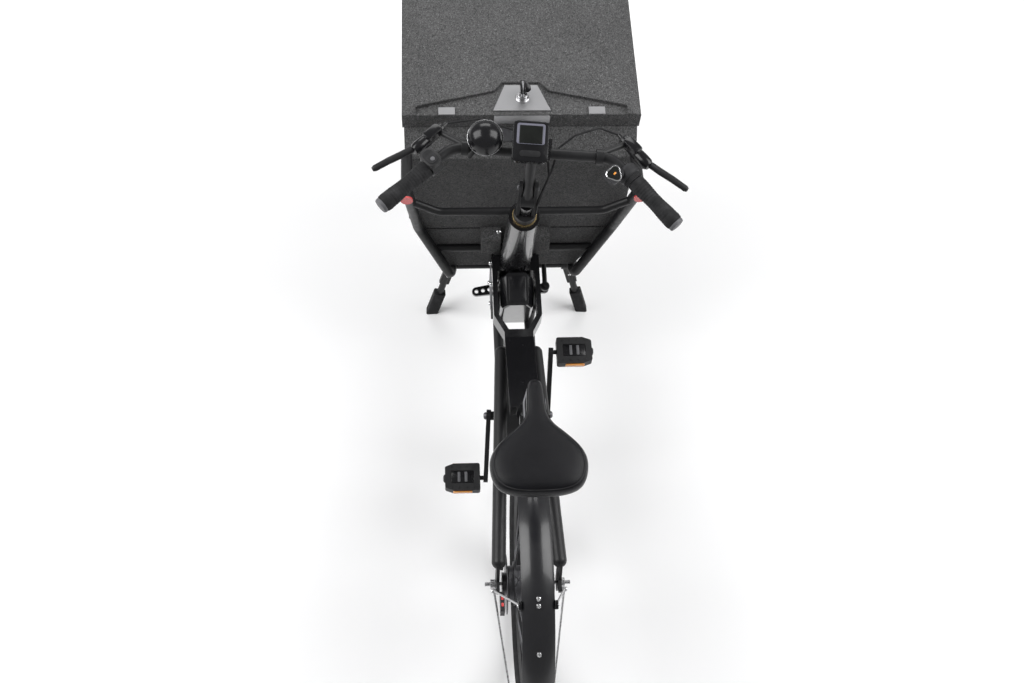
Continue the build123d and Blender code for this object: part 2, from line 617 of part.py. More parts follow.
ridge = [(LID_HALF - 34, LID_REAR - 20), (LID_HALF - 34, LID_REAR + 20), (67, LID_REAR + 65), (46, LID_REAR + 90)]
band = rise(ridge + [(-x, y) for x, y in reversed(ridge)], SEAM_Z, LID_TOP + 50)
nodes["lid"] = lid - (band & band_layer(0, 60))
plate_low, plate_top = SEAT, SEAT + 3
lock = [(70, LID_REAR + 11), (40, LID_REAR + 84)]
lock_plate = rise(lock + [(-x, y) for x, y in reversed(lock)], SEAM_Z, LID_TOP + 50) & band_layer(plate_low, plate_top)
lock_z = LID_TOP - BAND_DROP + 6
barrel = Cylinder(11, 12, align=(Align.CENTER, Align.CENTER, Align.MIN))
barrel += Pos(0, 0, 10) * Cylinder(4, 14, align=(Align.CENTER, Align.CENTER, Align.MIN))
barrel += Pos(0, 6, 32) * extrude(Plane.YZ * SlotOverall(34, 20), amount=1.5, both=True)
nodes["lock_plate"] = lock_plate + Pos(2, LID_REAR + 48, lock_z) * barrel
tabs = block((162, 202), (LID_REAR + 1, LID_REAR + 21), (SEAM_Z, LID_TOP + 50)) & band_layer(plate_low, plate_top)
nodes["lid_tabs"] = pair(tabs)
shoulder_plane = Plane(origin=(0, LID_REAR, SEAM_Z), x_dir=(1, 0, 0), z_dir=(0, SHOULDER_Z - SEAM_Z, LID_REAR - TUB_REAR))
keeper = Polygon((70, -3), (62, -34), (-62, -34), (-70, -3), align=None)
nodes["keeper_plate"] = extrude(shoulder_plane.offset(SEAT) * keeper, amount=3, dir=tuple(shoulder_plane.z_dir))

hinge_y = TUB_FRONT + HINGE_RADIUS + 2
hinge_tub = []
hinge_lid = []
for x in (-190, 190):
    for x0, x1, group, z0, z1 in ((x - 40, x - 14, hinge_tub, SEAM_Z - 40, SEAM_Z),
                                  (x + 14, x + 40, hinge_tub, SEAM_Z - 40, SEAM_Z),
                                  (x - 13, x + 13, hinge_lid, SEAM_Z, SEAM_Z + 32)):
        knuckle = drum(hinge_y, SEAM_Z, x0, x1, HINGE_RADIUS)
        knuckle += block((x0, x1), (TUB_FRONT + SEAT, TUB_FRONT + 4), (z0, z1))
        group.append(knuckle)
    hinge_tub.append(drum(hinge_y, SEAM_Z, x - 40, x + 40, 3))
hinge_pins = Part() + hinge_tub
hinge_leaves = Part() + hinge_lid
nodes["hinge_tub"] = hinge_pins
nodes["hinge_lid"] = hinge_leaves - drum(hinge_y, SEAM_Z, -300, 300, 3 + FIT)

# Two-leg stand
leg_run = Vector(FOOT_X - STAND_HALF, FOOT_Y - STAND_Y, -STAND_Z)
leg_dir = leg_run.normalized()
ankle = Vector(FOOT_X, FOOT_Y, 0) - leg_dir * FOOT_LENGTH
leg_top = Vector(STAND_HALF, STAND_Y, STAND_Z)
across_leg = leg_dir.cross(Vector(0, 1, 0))


def leg_plane(distance):
    """Plane square to the leg, some way down from its pivot."""
    return Plane(origin=leg_top + leg_dir * distance, x_dir=across_leg, z_dir=leg_dir)


upper = 0.62 * (leg_run.length - FOOT_LENGTH)
leg = extrude(leg_plane(-6) * RectangleRounded(*LEG_SIZE, 4), amount=upper + 6)
leg += rod(tuple(leg_top), tuple(ankle - leg_dir * SEAT), NECK_RADIUS)
leg += drum(STAND_Y, STAND_Z, STAND_HALF - 16, STAND_HALF + 12, LEG_RADIUS + 4)
legs = leg + mirrored(leg) + drum(STAND_Y, STAND_Z, -STAND_HALF, STAND_HALF, LEG_RADIUS - 1)
nodes["stand_legs"] = legs
foot = extrude(leg_plane(leg_run.length - FOOT_LENGTH) * RectangleRounded(*FOOT_SIZE, 5), amount=FOOT_LENGTH + 20)
foot -= block((0, 500), (800, 1100), (-100, 0))
nodes["stand_feet"] = pair(foot)

# Fork
REAR_LIFT = 28.0              # rod eyes above the middle of their arms
FRONT_LIFT = 46.0


def upright(x, radius, low, high):
    """Upright pin or bore in an arm's own plane."""
    return Pos(x, 0, (low + high) / 2) * Cylinder(radius, high - low)


BLADE_X = 62.0
crown_z = HEAD_LOW - 36.0
crown_plane = across(fork_y(crown_z), crown_z)
fork = rod((0, fork_y(crown_z), crown_z), (0, fork_y(HEAD_TOP + 14), HEAD_TOP + 14), STEERER_RADIUS)
fork += rod((0, fork_y(crown_z), crown_z), (0, fork_y(HEAD_LOW - 1), HEAD_LOW - 1), STEERER_RADIUS + 4)
fork += crown_plane * block((-BLADE_X - 14, BLADE_X + 14), (-17, 17), (-9, 9))
fork += crown_plane * block((BLADE_X, ARM_REACH + 11), (-11, 11), (-7, 7))
fender_top = FRONT_RADIUS + FENDER_GAP + FENDER_CROWN + SEAT
fork += block((-12, 12), (fork_y(crown_z) - 8, fork_y(crown_z) + 8), (FRONT_RADIUS + 190, crown_z))
fork -= drum(FRONT_AXLE_Y, FRONT_RADIUS, -40, 40, fender_top)
fork += crown_plane * upright(ARM_REACH, PIN_RADIUS, 0, FRONT_LIFT + 14)
for s in (-1, 1):
    x = s * BLADE_X
    fork += rod((x, fork_y(crown_z), crown_z), (x, FRONT_AXLE_Y, FRONT_RADIUS), 13)
    fork += drum(FRONT_AXLE_Y, FRONT_RADIUS, x - 9, x + 9, 16)
fork += drum(FRONT_AXLE_Y, FRONT_RADIUS, -80, 80, AXLE_RADIUS)
cap_plane = across(fork_y(HEAD_TOP), HEAD_TOP)
fork += extrude(cap_plane.offset(1) * Circle(20), amount=12)
nodes["fork"] = fork
steered_by_fork.append("fork")

lamp_y = fork_y(HEAD_TOP - 40) + HEAD_RADIUS
head_foot = Vector(0, fork_y(HEAD_LOW - 60), HEAD_LOW - 60)
headlamp = block((-12, 12), (lamp_y - 2, lamp_y + 34), (HEAD_TOP - 50, HEAD_TOP - 30))
headlamp += rod((0, lamp_y + 30, HEAD_TOP - 40), (0, lamp_y + 78, HEAD_TOP - 46), 30)
nodes["headlamp"] = headlamp - rod(tuple(head_foot), tuple(head_foot + UP * 300), HEAD_RADIUS + SEAT)

# Tie rod between the two steering arms
arm_plane = across(column_y(ARM_Z), ARM_Z)
eye_rear = arm_plane.from_local_coords((ARM_REACH, 0, REAR_LIFT))
eye_front = crown_plane.from_local_coords((ARM_REACH, 0, FRONT_LIFT))
rod_knees = [(ARM_REACH, 1243, 258), (ARM_REACH, 1347, 422)]
tie = pipe([tuple(eye_rear), *rod_knees, tuple(eye_front)], ROD_RADIUS, 60)
tie += arm_plane * upright(ARM_REACH, 13, REAR_LIFT - 8, REAR_LIFT + 8)
tie += crown_plane * upright(ARM_REACH, 13, FRONT_LIFT - 8, FRONT_LIFT + 8)
tie -= arm_plane * upright(ARM_REACH, PIN_RADIUS + FIT, REAR_LIFT - 30, REAR_LIFT + 30)
tie -= crown_plane * upright(ARM_REACH, PIN_RADIUS + 1, FRONT_LIFT - 30, FRONT_LIFT + 30)
nodes["tie_rod"] = tie
moved_with_rod.append("tie_rod")

# Steering shaft with its arm
shaft_top = 930.0
shaft = column_bore(SHAFT_RADIUS, ARM_Z, shaft_top)
arm = Cylinder(SHAFT_RADIUS + 11, 12)
for tip, back in ((ARM_REACH, 0), (2 - ARM_REACH, ARM_SWEEP)):
    wing = Sketch() + [Circle(SHAFT_RADIUS + 3), Pos(tip, -back) * Circle(13)]
    arm += extrude(make_hull(wing.edges()), amount=6, both=True)
for share in (1, 0.81, 0.62):
    arm -= Pos(share * (2 - ARM_REACH), -share * ARM_SWEEP, 0) * Cylinder(5.5, 40)
arm = arm_plane * arm
arm += arm_plane * upright(ARM_REACH, PIN_RADIUS, 0, REAR_LIFT + 14)
nodes["steering_shaft"] = shaft + arm

# Stem and handlebar
collar_z = COLUMN_TOP + 12.0
stem = column_bore(27, collar_z, collar_z + 26)
stem_foot = (0, column_y(shaft_top - 14), shaft_top - 14)
for s in (-1, 1):
    cheek = Plane(origin=(s * 18, 0, 0), x_dir=(0, 1, 0), z_dir=(1, 0, 0))
    y0, y1 = column_y(collar_z + 14), stem_foot[1]
    hull = Sketch() + [Pos(y0, collar_z + 14) * Circle(17), Pos(y1 + 5, stem_foot[2] + 84) * Circle(12)]
    stem += extrude(cheek * make_hull(hull.edges()), amount=4, both=True)
stem += rod((0, stem_foot[1] - 4, stem_foot[2] + 34), (0, BAR_Y, BAR_Z), 13)
stem += drum(stem_foot[1] - 4, stem_foot[2] + 34, -16, 16, 17)
stem += drum(BAR_Y, BAR_Z, -27, 27, 20)
stem -= drum(BAR_Y, BAR_Z, -60, 60, HANDLEBAR_RADIUS + FIT)
stem -= column_bore(SHAFT_RADIUS + FIT, 800, shaft_top + 1)
nodes["stem"] = stem

gx, gy, gz = GRIP_END
handlebar = pipe([(-gx, gy, gz), (-BEND_X, BAR_Y, BAR_Z), (BEND_X, BAR_Y, BAR_Z), (gx, gy, gz)],
                 HANDLEBAR_RADIUS, 60)
nodes["handlebar"] = handlebar
grip_dir = (Vector(BEND_X, BAR_Y, BAR_Z) - Vector(*GRIP_END)).normalized()


def along_grip(distance):
    return tuple(Vector(*GRIP_END) + grip_dir * distance)


def sleeve(start, stop, radius):
    ring = rod(along_grip(start), along_grip(stop), radius)
    return ring - rod(along_grip(start - 1), along_grip(stop + 1), HANDLEBAR_RADIUS + FIT)


grip = rod(along_grip(-9), along_grip(GRIP_LENGTH), GRIP_RADIUS)
grip -= rod(along_grip(-SEAT), along_grip(GRIP_LENGTH + 1), HANDLEBAR_RADIUS + FIT)
nodes["grips"] = pair(grip)
clear = pipe([(0, BAR_Y, BAR_Z), (BEND_X, BAR_Y, BAR_Z), (gx, gy, gz)], HANDLEBAR_RADIUS + FIT, 60)
window = Pos(180, 706, 1106) * Rot(18, 0, -40) * fillet(Box(36, 40, 14).edges().filter_by(Axis.Z), 12)
window += rod((180, 706, 1106), along_grip(GRIP_LENGTH + 24), 11)
bulb = rod(along_grip(GRIP_LENGTH + 11), along_grip(GRIP_LENGTH + 40), 25)
bulb = fillet(bulb.edges().filter_by(GeomType.CIRCLE), 9)
nodes["twist_shifter"] = sleeve(GRIP_LENGTH + 1, GRIP_LENGTH + 31, 20.5) + bulb + window - clear
pod_plane = Plane(origin=along_grip(GRIP_LENGTH + 1), z_dir=grip_dir)
pod = extrude(pod_plane * RegularPolygon(25, 8), amount=28)
nodes["remote_pod"] = mirrored(pod - clear)

LEVER_IN = Vector(BEND_X + 26, BAR_Y + 63, BAR_Z - 12)
LEVER_OUT = Vector(BEND_X + 76, BAR_Y + 5, BAR_Z - 14)
lever_tip = (346, 707, 1070)
lever = pipe([tuple(LEVER_OUT), (LEVER_OUT.X + 34, LEVER_OUT.Y - 14, BAR_Z - 24), lever_tip], 5.5, 40)
lever += Pos(*lever_tip) * Sphere(7)
lever += rod(tuple(LEVER_IN), tuple(LEVER_OUT), 12) + Pos(*LEVER_OUT) * Sphere(12)
lever += rod((BEND_X - 36, BAR_Y, BAR_Z), (BEND_X - 20, BAR_Y, BAR_Z), 18)
lever += rod((BEND_X - 28, BAR_Y + 12, BAR_Z - 6), tuple(LEVER_IN + (LEVER_OUT - LEVER_IN) * 0.2), 8)
lever -= handlebar
lever -= clear
nodes["brake_levers"] = pair(lever)

display = Rot(24, 0, 0) * fillet(Box(80, 90, 18).edges().filter_by(Axis.Z), 11)
display = Pos(-8, BAR_Y - 6, BAR_Z + 44) * display
for x in (-38, 34):
    display += drum(BAR_Y, BAR_Z, x - 6, x + 6, 16)
    display += block((x - 6, x + 6), (BAR_Y - 8, BAR_Y + 8), (BAR_Z, BAR_Z + 44))
display -= drum(BAR_Y, BAR_Z, -60, 60, HANDLEBAR_RADIUS + FIT)
nodes["display"] = display

bell_x = -107.0
BELL_TILT = math.radians(25)
bell_plane = Plane(origin=(bell_x, BAR_Y + 8, BAR_Z + 32), x_dir=(1, 0, 0), z_dir=(0, -math.sin(BELL_TILT), math.cos(BELL_TILT)))
dome = Pos(0, 0, -6) * Sphere(40) & Pos(0, 0, 30) * Box(100, 100, 60)
bell = bell_plane * (dome + Pos(0, 0, -8) * Cylinder(12, 18))
bell += block((bell_x - 8, bell_x + 8), (BAR_Y, BAR_Y + 24), (BAR_Z + 6, BAR_Z + 24))
bell += drum(BAR_Y, BAR_Z, bell_x - 8, bell_x + 8, 16)
bell -= drum(BAR_Y, BAR_Z, bell_x - 60, bell_x + 60, HANDLEBAR_RADIUS + FIT)
nodes["bell"] = bell

# Brake hoses from the levers to the stem's collar
HOSE_RADIUS = 2.5
hose_start = LEVER_IN
hose_out = (LEVER_IN - LEVER_OUT).normalized()


def hose_end(aside, above):
    y = column_y(collar_z + 26) + aside * COS_LEAN - above * math.sin(math.radians(LEAN))
    return (25, y, collar_z + 26 + aside * math.sin(math.radians(LEAN)) + above * COS_LEAN)


right_run = [tuple(hose_start + hose_out * SEAT), tuple(hose_start + hose_out * 14), (150, 842, 1092), (96, 816, 1094),
             (60, 792, 1074), (48, 752, 1040), hose_end(3.5, 70), hose_end(3.5, SEAT)]
left_from = Vector(-hose_start.X, hose_start.Y, hose_start.Z)
left_out = Vector(-hose_out.X, hose_out.Y, hose_out.Z)
left_run = [tuple(left_from + left_out * SEAT), tuple(left_from + left_out * 14), (-120, 850, 1086), (-30, 822, 1084),
            (34, 800, 1064), (44, 752, 1020), hose_end(-3.5, 60), hose_end(-3.5, SEAT)]
nodes["brake_hoses"] = Compound(children=[pipe(run, HOSE_RADIUS, 14) for run in (right_run, left_run)])

steered_by_column += ["steering_shaft", "stem", "handlebar", "grips", "twist_shifter", "remote_pod",
                      "brake_levers", "display", "bell", "brake_hoses"]

# Place every piece
column_axis = Axis((0, column_y(0), 0), tuple(UP))
fork_axis = Axis((0, fork_y(0), 0), tuple(UP))
eye = Vector(ARM_REACH, 0, 0)
turned = Vector(math.cos(math.radians(STEER_AT_REST)) * ARM_REACH, 0, 0)
turned += Vector(0, COS_LEAN, -UP.Y) * (math.sin(math.radians(STEER_AT_REST)) * ARM_REACH)
rod_shift = turned - eye
rear_end = REAR_AXLE_Y - shell_r - 24
front_end = FRONT_AXLE_Y + FRONT_RADIUS
ORIGIN_Y = (rear_end + front_end) / 2


def placed(name, shape):
    if name in steered_by_column:
        shape = shape.rotate(column_axis, STEER_AT_REST)
    if name in steered_by_fork:
        shape = shape.rotate(fork_axis, STEER_AT_REST)
    if name in moved_with_rod:
        shape = shape.translate(rod_shift)
    return shape.translate((0, -ORIGIN_Y, 0))


for name, shape in nodes.items():
    export_step(placed(name, shape), f"parts/{name}.step")
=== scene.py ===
import math
import bpy
import bmesh
from mathutils import Matrix, Vector


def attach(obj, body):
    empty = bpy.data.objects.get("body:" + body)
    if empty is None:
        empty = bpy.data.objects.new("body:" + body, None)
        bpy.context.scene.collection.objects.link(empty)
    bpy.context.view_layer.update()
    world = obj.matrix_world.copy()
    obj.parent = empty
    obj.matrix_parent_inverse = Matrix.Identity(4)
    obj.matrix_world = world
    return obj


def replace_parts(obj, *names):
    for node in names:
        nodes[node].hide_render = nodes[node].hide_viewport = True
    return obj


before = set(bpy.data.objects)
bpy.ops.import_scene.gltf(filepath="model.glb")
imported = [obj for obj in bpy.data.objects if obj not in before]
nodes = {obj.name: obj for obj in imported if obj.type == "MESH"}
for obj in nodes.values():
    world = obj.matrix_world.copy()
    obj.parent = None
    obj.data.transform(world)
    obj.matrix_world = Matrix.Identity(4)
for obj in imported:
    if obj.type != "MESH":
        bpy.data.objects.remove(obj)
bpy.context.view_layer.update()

scene = bpy.context.scene
scene.view_settings.view_transform = "Standard"

# Lengths are in metres. Y is counted from the rear axle and shifted by ORIGIN_Y into the row frame.
ORIGIN_Y = 0.7365
LEAN = math.radians(15.0)
STEER_AT_REST = math.radians(-4.5)
COLUMN_Y, COLUMN_Z = 0.770, 0.785
FORK_FOOT_Y = 1.6459
UP = Vector((0.0, -math.sin(LEAN), math.cos(LEAN)))


def at(x, y, z):
    """Place in the row frame."""
    return Vector((x, y - ORIGIN_Y, z))


def column_y(z):
    """Where the steering column's axis is at a height."""
    return COLUMN_Y + (COLUMN_Z - z) * math.tan(LEAN)


def steered_about(foot):
    """The turn that steering has at rest, about a leaning axis that meets the floor at a foot."""
    return Matrix.Translation(foot) @ Matrix.Rotation(STEER_AT_REST, 4, UP) @ Matrix.Translation(-foot)


STEERED = steered_about(at(0, column_y(0), 0))
FORKED = steered_about(at(0, FORK_FOOT_Y, 0))


# Camera at the photo's viewpoint
def look(pitch, yaw, roll):
    """Rotation of a camera pitched down, turned about Z and rolled, in degrees."""
    p, r = math.radians(pitch), math.radians(roll)
    turn = Matrix.Rotation(math.radians(yaw), 3, "Z")
    ahead = turn @ Vector((0, math.cos(p), -math.sin(p)))
    up = turn @ Vector((0, math.sin(p), math.cos(p)))
    right = turn @ Vector((1, 0, 0))
    right, up = math.cos(r) * right + math.sin(r) * up, math.cos(r) * up - math.sin(r) * right
    return Matrix((right, up, -ahead)).transposed().to_4x4()


PHOTO_WIDTH = 1024
FOCAL_PX = 1203.25
SENSOR_MM = 36.0
CAMERA_AT = at(-0.2019, -0.8384, 3.2727)
CAMERA_PITCH, CAMERA_YAW, CAMERA_ROLL = 62.484, -7.200, 5.429
camera_data = bpy.data.cameras.new("camera")
camera_data.sensor_width = SENSOR_MM
camera_data.lens = FOCAL_PX / PHOTO_WIDTH * camera_data.sensor_width
camera = bpy.data.objects.new("camera", camera_data)
camera.matrix_world = Matrix.Translation(CAMERA_AT) @ look(CAMERA_PITCH, CAMERA_YAW, CAMERA_ROLL)
scene.collection.objects.link(camera)
scene.camera = camera


# Finishes, made of procedural textures in object space
def socket(node, name):
    """First input of a node with a name."""
    return next(s for s in node.inputs if s.name == name)


def scaled(colour, factor, lift=0.0):
    """A colour made lighter or darker by a factor, with a little grey added."""
    return tuple(factor * c + lift for c in colour)


class Finish:
    """A material with one main shader and short ways to add textures to it."""

    def __init__(self, name, **values):
        self.material = bpy.data.materials.new(name)
        self.material.use_nodes = True
        self.tree = self.material.node_tree
        self.shader = self.tree.nodes["Principled BSDF"]
        self.coords = self.add("ShaderNodeTexCoord").outputs["Object"]
        for key, value in values.items():
            self.set(key, value)

    def add(self, kind, **props):
        node = self.tree.nodes.new(kind)
        for key, value in props.items():
            setattr(node, key, value)
        return node

    def link(self, source, target):
        self.tree.links.new(source, target)

    def set(self, key, value):
        s = socket(self.shader, key.replace("_", " "))
        s.default_value = (*value, 1.0) if isinstance(value, tuple) and len(value) == 3 else value

    def stretched(self, scale):
        mapping = self.add("ShaderNodeMapping")
        mapping.inputs["Scale"].default_value = scale
        self.link(self.coords, mapping.inputs["Vector"])
        return mapping.outputs["Vector"]

    def noise(self, scale, detail=3.0, rough=0.55, vector=None):
        node = self.add("ShaderNodeTexNoise")
        self.link(vector or self.coords, node.inputs["Vector"])
        node.inputs["Scale"].default_value = scale
        node.inputs["Detail"].default_value = detail
        node.inputs["Roughness"].default_value = rough
        return node.outputs["Fac"]

    def cells(self, scale, feature="F1"):
        node = self.add("ShaderNodeTexVoronoi", feature=feature)
        self.link(self.coords, node.inputs["Vector"])
        node.inputs["Scale"].default_value = scale
        return node

    def span(self, fac, low, high, start=0.0, stop=1.0):
        node = self.add("ShaderNodeMapRange")
        self.link(fac, node.inputs["Value"])
        for key, value in (("From Min", start), ("From Max", stop), ("To Min", low), ("To Max", high)):
            node.inputs[key].default_value = value
        return node.outputs["Result"]

    def ramp(self, fac, *stops):
        node = self.add("ShaderNodeValToRGB")
        self.link(fac, node.inputs["Fac"])
        marks = node.color_ramp.elements
        while len(marks) < len(stops):
            marks.new(0.5)
        for mark, (place, colour) in zip(marks, stops):
            mark.position = place
            mark.color = (*colour, 1.0)
        return node.outputs["Color"]

    def mix(self, fac, a, b, blend="MIX"):
        node = self.add("ShaderNodeMix", data_type="RGBA", blend_type=blend)
        for value, target in ((fac, node.inputs[0]), (a, node.inputs[6]), (b, node.inputs[7])):
            if isinstance(value, bpy.types.NodeSocket):
                self.link(value, target)
            else:
                target.default_value = (*value, 1.0) if isinstance(value, tuple) else value
        return node.outputs[2]

    def bump(self, height, strength, distance, below=None):
        node = self.add("ShaderNodeBump")
        self.link(height, node.inputs["Height"])
        node.inputs["Strength"].default_value = strength
        node.inputs["Distance"].default_value = distance
        if below:
            self.link(below, node.inputs["Normal"])
        return node.outputs["Normal"]

    def soft_edges(self, radius):
        node = self.add("ShaderNodeBevel", samples=4)
        node.inputs["Radius"].default_value = radius
        return node.outputs["Normal"]

    def edge_mask(self, radius):
        """Near 1 on sharp edges, 0 elsewhere."""
        flat = self.add("ShaderNodeNewGeometry").outputs["Normal"]
        dot = self.add("ShaderNodeVectorMath", operation="DOT_PRODUCT")
        self.link(self.soft_edges(radius), dot.inputs[0])
        self.link(flat, dot.inputs[1])
        return self.span(dot.outputs["Value"], 0.0, 1.0, 0.985, 0.9)

    def out(self, key, source):
        self.link(source, socket(self.shader, key.replace("_", " ")))


# Texture cells in one metre
BEADS, PITS, CREASES, PRISMS = 430.0, 900.0, 620.0, 330.0
# Radius of the soft edges each kind of finish shows
FOAM_EDGE, PAINT_EDGE, PLASTIC_EDGE, RUBBER_EDGE, METAL_EDGE = 0.006, 0.0015, 0.0015, 0.001, 0.0008
WORN_PAINT = (0.1, 0.1, 0.1)


def foam(name, colour):
    """Pressed foam: beads of uneven tone with dark seams between them."""
    f = Finish(name, Specular_IOR_Level=0.2)
    beads = f.cells(BEADS)
    tone = f.ramp(beads.outputs["Color"], (0.0, scaled(colour, 0.35)), (0.5, colour),
                  (0.85, scaled(colour, 1.4)), (1.0, scaled(colour, 2.5)))
    seams = f.cells(BEADS, "DISTANCE_TO_EDGE").outputs["Distance"]
    lines = f.ramp(seams, (0.0, (0.55, 0.55, 0.55)), (0.12, (1.0, 1.0, 1.0)))
    cloud = f.ramp(f.noise(7.0), (0.35, (0.9, 0.9, 0.9)), (0.65, (1.06, 1.06, 1.06)))
    f.out("Base_Color", f.mix(1.0, f.mix(1.0, tone, lines, "MULTIPLY"), cloud, "MULTIPLY"))
    f.out("Roughness", f.span(f.noise(90.0), 0.6, 0.85))
    f.out("Normal", f.bump(f.span(seams, 0.0, 1.0, 0.0, 0.25), 0.45, 0.0007, f.soft_edges(FOAM_EDGE)))
    return f.material


def paint(name, colour, rough, coat, grain):
    """Dusty paint under a clear coat, a little worn on its edges."""
    f = Finish(name, Coat_Weight=coat, Coat_Roughness=0.14, Specular_IOR_Level=0.35)
    dust = f.noise(38.0, 5.0, 0.65)
    base = f.mix(f.span(dust, 0.0, 0.5, 0.45, 0.8), colour, scaled(colour, 1.3, 0.001))
    f.out("Base_Color", f.mix(f.span(f.edge_mask(PAINT_EDGE * 0.6), 0.0, 0.25), base, WORN_PAINT))
    f.out("Roughness", f.span(f.noise(60.0, 4.0), rough * 0.88, rough * 1.15, 0.3, 0.7))
    f.out("Normal", f.bump(f.noise(520.0, 2.0), grain, 0.0004, f.soft_edges(PAINT_EDGE)))
    return f.material


def plastic(name, colour, rough, depth=0.25):
    """Moulded plastic with pits of some depth."""
    f = Finish(name, Specular_IOR_Level=0.35)
    patch = f.noise(25.0, 4.0)
    f.out("Base_Color", f.mix(f.span(patch, 0.0, 0.6, 0.35, 0.7), colour, scaled(colour, 1.45, 0.004)))
    f.out("Roughness", f.span(f.noise(70.0), rough * 0.85, min(1.0, rough * 1.2)))
    pits = f.cells(PITS, "SMOOTH_F1").outputs["Distance"]
    f.out("Normal", f.bump(pits, depth, 0.0003, f.soft_edges(PLASTIC_EDGE)))
    return f.material


def leather(name, colour):
    """Smooth leather with fine creases and paler patches."""
    f = Finish(name, Specular_IOR_Level=0.23, Sheen_Weight=0.01, Sheen_Roughness=0.4)
    grain = f.cells(CREASES, "DISTANCE_TO_EDGE").outputs["Distance"]
    patch = f.noise(18.0, 5.0)
    tone = f.mix(f.span(patch, 0.0, 0.7, 0.35, 0.7), colour, scaled(colour, 1.5))
    f.out("Base_Color", f.mix(f.span(grain, 0.45, 0.0, 0.0, 0.12), tone, scaled(colour, 0.5)))
    f.out("Roughness", f.span(patch, 0.27, 0.37))
    f.out("Normal", f.bump(f.span(grain, 0.0, 1.0, 0.0, 0.2), 0.3, 0.0005))
    return f.material


def rubber(name, colour, rough=0.7):
    """Dull rubber with dust on it."""
    f = Finish(name, Specular_IOR_Level=0.25)
    dust = f.noise(30.0, 6.0, 0.7)
    f.out("Base_Color", f.mix(f.span(dust, 0.0, 0.8, 0.45, 0.75), colour, scaled(colour, 2.2, 0.01)))
    f.out("Roughness", f.span(f.noise(55.0), rough * 0.85, min(1.0, rough * 1.15)))
    f.out("Normal", f.bump(f.noise(1400.0, 2.0), 0.35, 0.0003, f.soft_edges(RUBBER_EDGE)))
    return f.material


def metal(name, colour, rough, brushed=(1.0, 1.0, 1.0)):
    """Metal with fine lines, drawn out where it is brushed."""
    f = Finish(name, Metallic=1.0)
    lines = f.noise(240.0, 3.0, 0.6, f.stretched(brushed))
    f.out("Base_Color", f.ramp(lines, (0.3, scaled(colour, 0.86)), (0.7, colour)))
    f.out("Roughness", f.span(lines, rough * 0.75, rough * 1.3, 0.3, 0.7))
    f.out("Normal", f.bump(lines, 0.08, 0.0002, f.soft_edges(METAL_EDGE)))
    return f.material


def reflector(name, colour):
    """Clear or coloured lens over small prisms."""
    f = Finish(name, Coat_Weight=1.0, Coat_Roughness=0.03)
    prisms = f.cells(PRISMS).outputs["Distance"]
    bright = tuple(min(1.0, c) for c in scaled(colour, 1.5))
    f.out("Base_Color", f.mix(f.span(prisms, 0.0, 1.0, 0.0, 0.6), bright, colour))
    f.out("Roughness", f.span(prisms, 0.12, 0.35))
    f.out("Normal", f.bump(prisms, 0.5, 0.0008))
    return f.material


FINISH = {
    "foam": foam("epp_foam", (0.092, 0.092, 0.093)),
    "gloss": paint("gloss_black", (0.006, 0.006, 0.007), 0.24, 0.7, 0.004),
    "satin": paint("satin_black", (0.009, 0.009, 0.010), 0.46, 0.05, 0.06),
    "fender": paint("fender_black", (0.012, 0.012, 0.014), 0.32, 0.4, 0.006),
    "plastic": plastic("grained_plastic", (0.017, 0.017, 0.018), 0.45),
    "shiny": plastic("shiny_plastic", (0.006, 0.006, 0.007), 0.2, depth=0.05),
    "leather": leather("saddle_leather", (0.0036, 0.0036, 0.0050)),
    "rubber": rubber("black_rubber", (0.013, 0.013, 0.014)),
    "soft": rubber("soft_rubber", (0.024, 0.024, 0.026), 0.55),
    "tyre": rubber("tyre_rubber", (0.012, 0.012, 0.013), 0.8),
    "steel": metal("bright_steel", (0.50, 0.50, 0.51), 0.28),
    "alloy": metal("brushed_alloy", (0.42, 0.42, 0.43), 0.45, (1.0, 14.0, 1.0)),
    "gunmetal": metal("gunmetal", (0.16, 0.16, 0.17), 0.45),
    "brass": metal("brass_race", (0.75, 0.56, 0.28), 0.3),
    "chrome": metal("chrome", (0.78, 0.78, 0.79), 0.10),
    "grey": plastic("grey_plastic", (0.105, 0.105, 0.112), 0.5),
    "lilac": plastic("lilac_plastic", (0.130, 0.130, 0.165), 0.45),
    "glass": plastic("dark_glass", (0.008, 0.009, 0.008), 0.12, depth=0.01),
    "lens": reflector("clear_lens", (0.62, 0.63, 0.65)),
    "red": reflector("red_reflector", (0.62, 0.06, 0.06)),
    "orange": reflector("orange_reflector", (0.85, 0.30, 0.03)),
}

# Finish of every CAD node
NODE_FINISH = {
    "foam": ("box_tub", "lid"),
    "gloss": ("column_tube", "front_beam", "seat_tube", "fork", "seat_post", "steering_shaft", "battery",
              "cradle"),
    "satin": ("tie_rod", "rear_stays", "lower_rails", "cage_left", "cage_right", "cage_bars", "handlebar",
              "coupling_block", "stem", "crank", "rear_caliper", "stand_legs", "brake_levers", "rear_rim",
              "front_rim", "headlamp"),
    "fender": ("rear_fender", "front_fender"),
    "plastic": ("motor", "shift_box", "pedal_left", "pedal_right", "remote_pod"),
    "shiny": ("display", "bell"),
    "leather": ("saddle",),
    "rubber": ("grips", "stand_feet", "brake_hoses"),
    "soft": ("twist_shifter",),
    "tyre": ("rear_tyre", "front_tyre"),
    "steel": ("fender_stays", "rear_axle", "chain", "hinge_tub", "hinge_lid"),
    "gunmetal": ("rear_hub", "front_hub", "saddle_rails", "keeper_plate"),
    "alloy": ("lock_plate", "lid_tabs"),
    "brass": ("headset_race",),
    "red": ("red_reflectors", "rear_lamp"),
}
for finish, names in NODE_FINISH.items():
    for name in names:
        data = nodes[name].data
        data.materials.clear()
        data.materials.append(FINISH[finish])


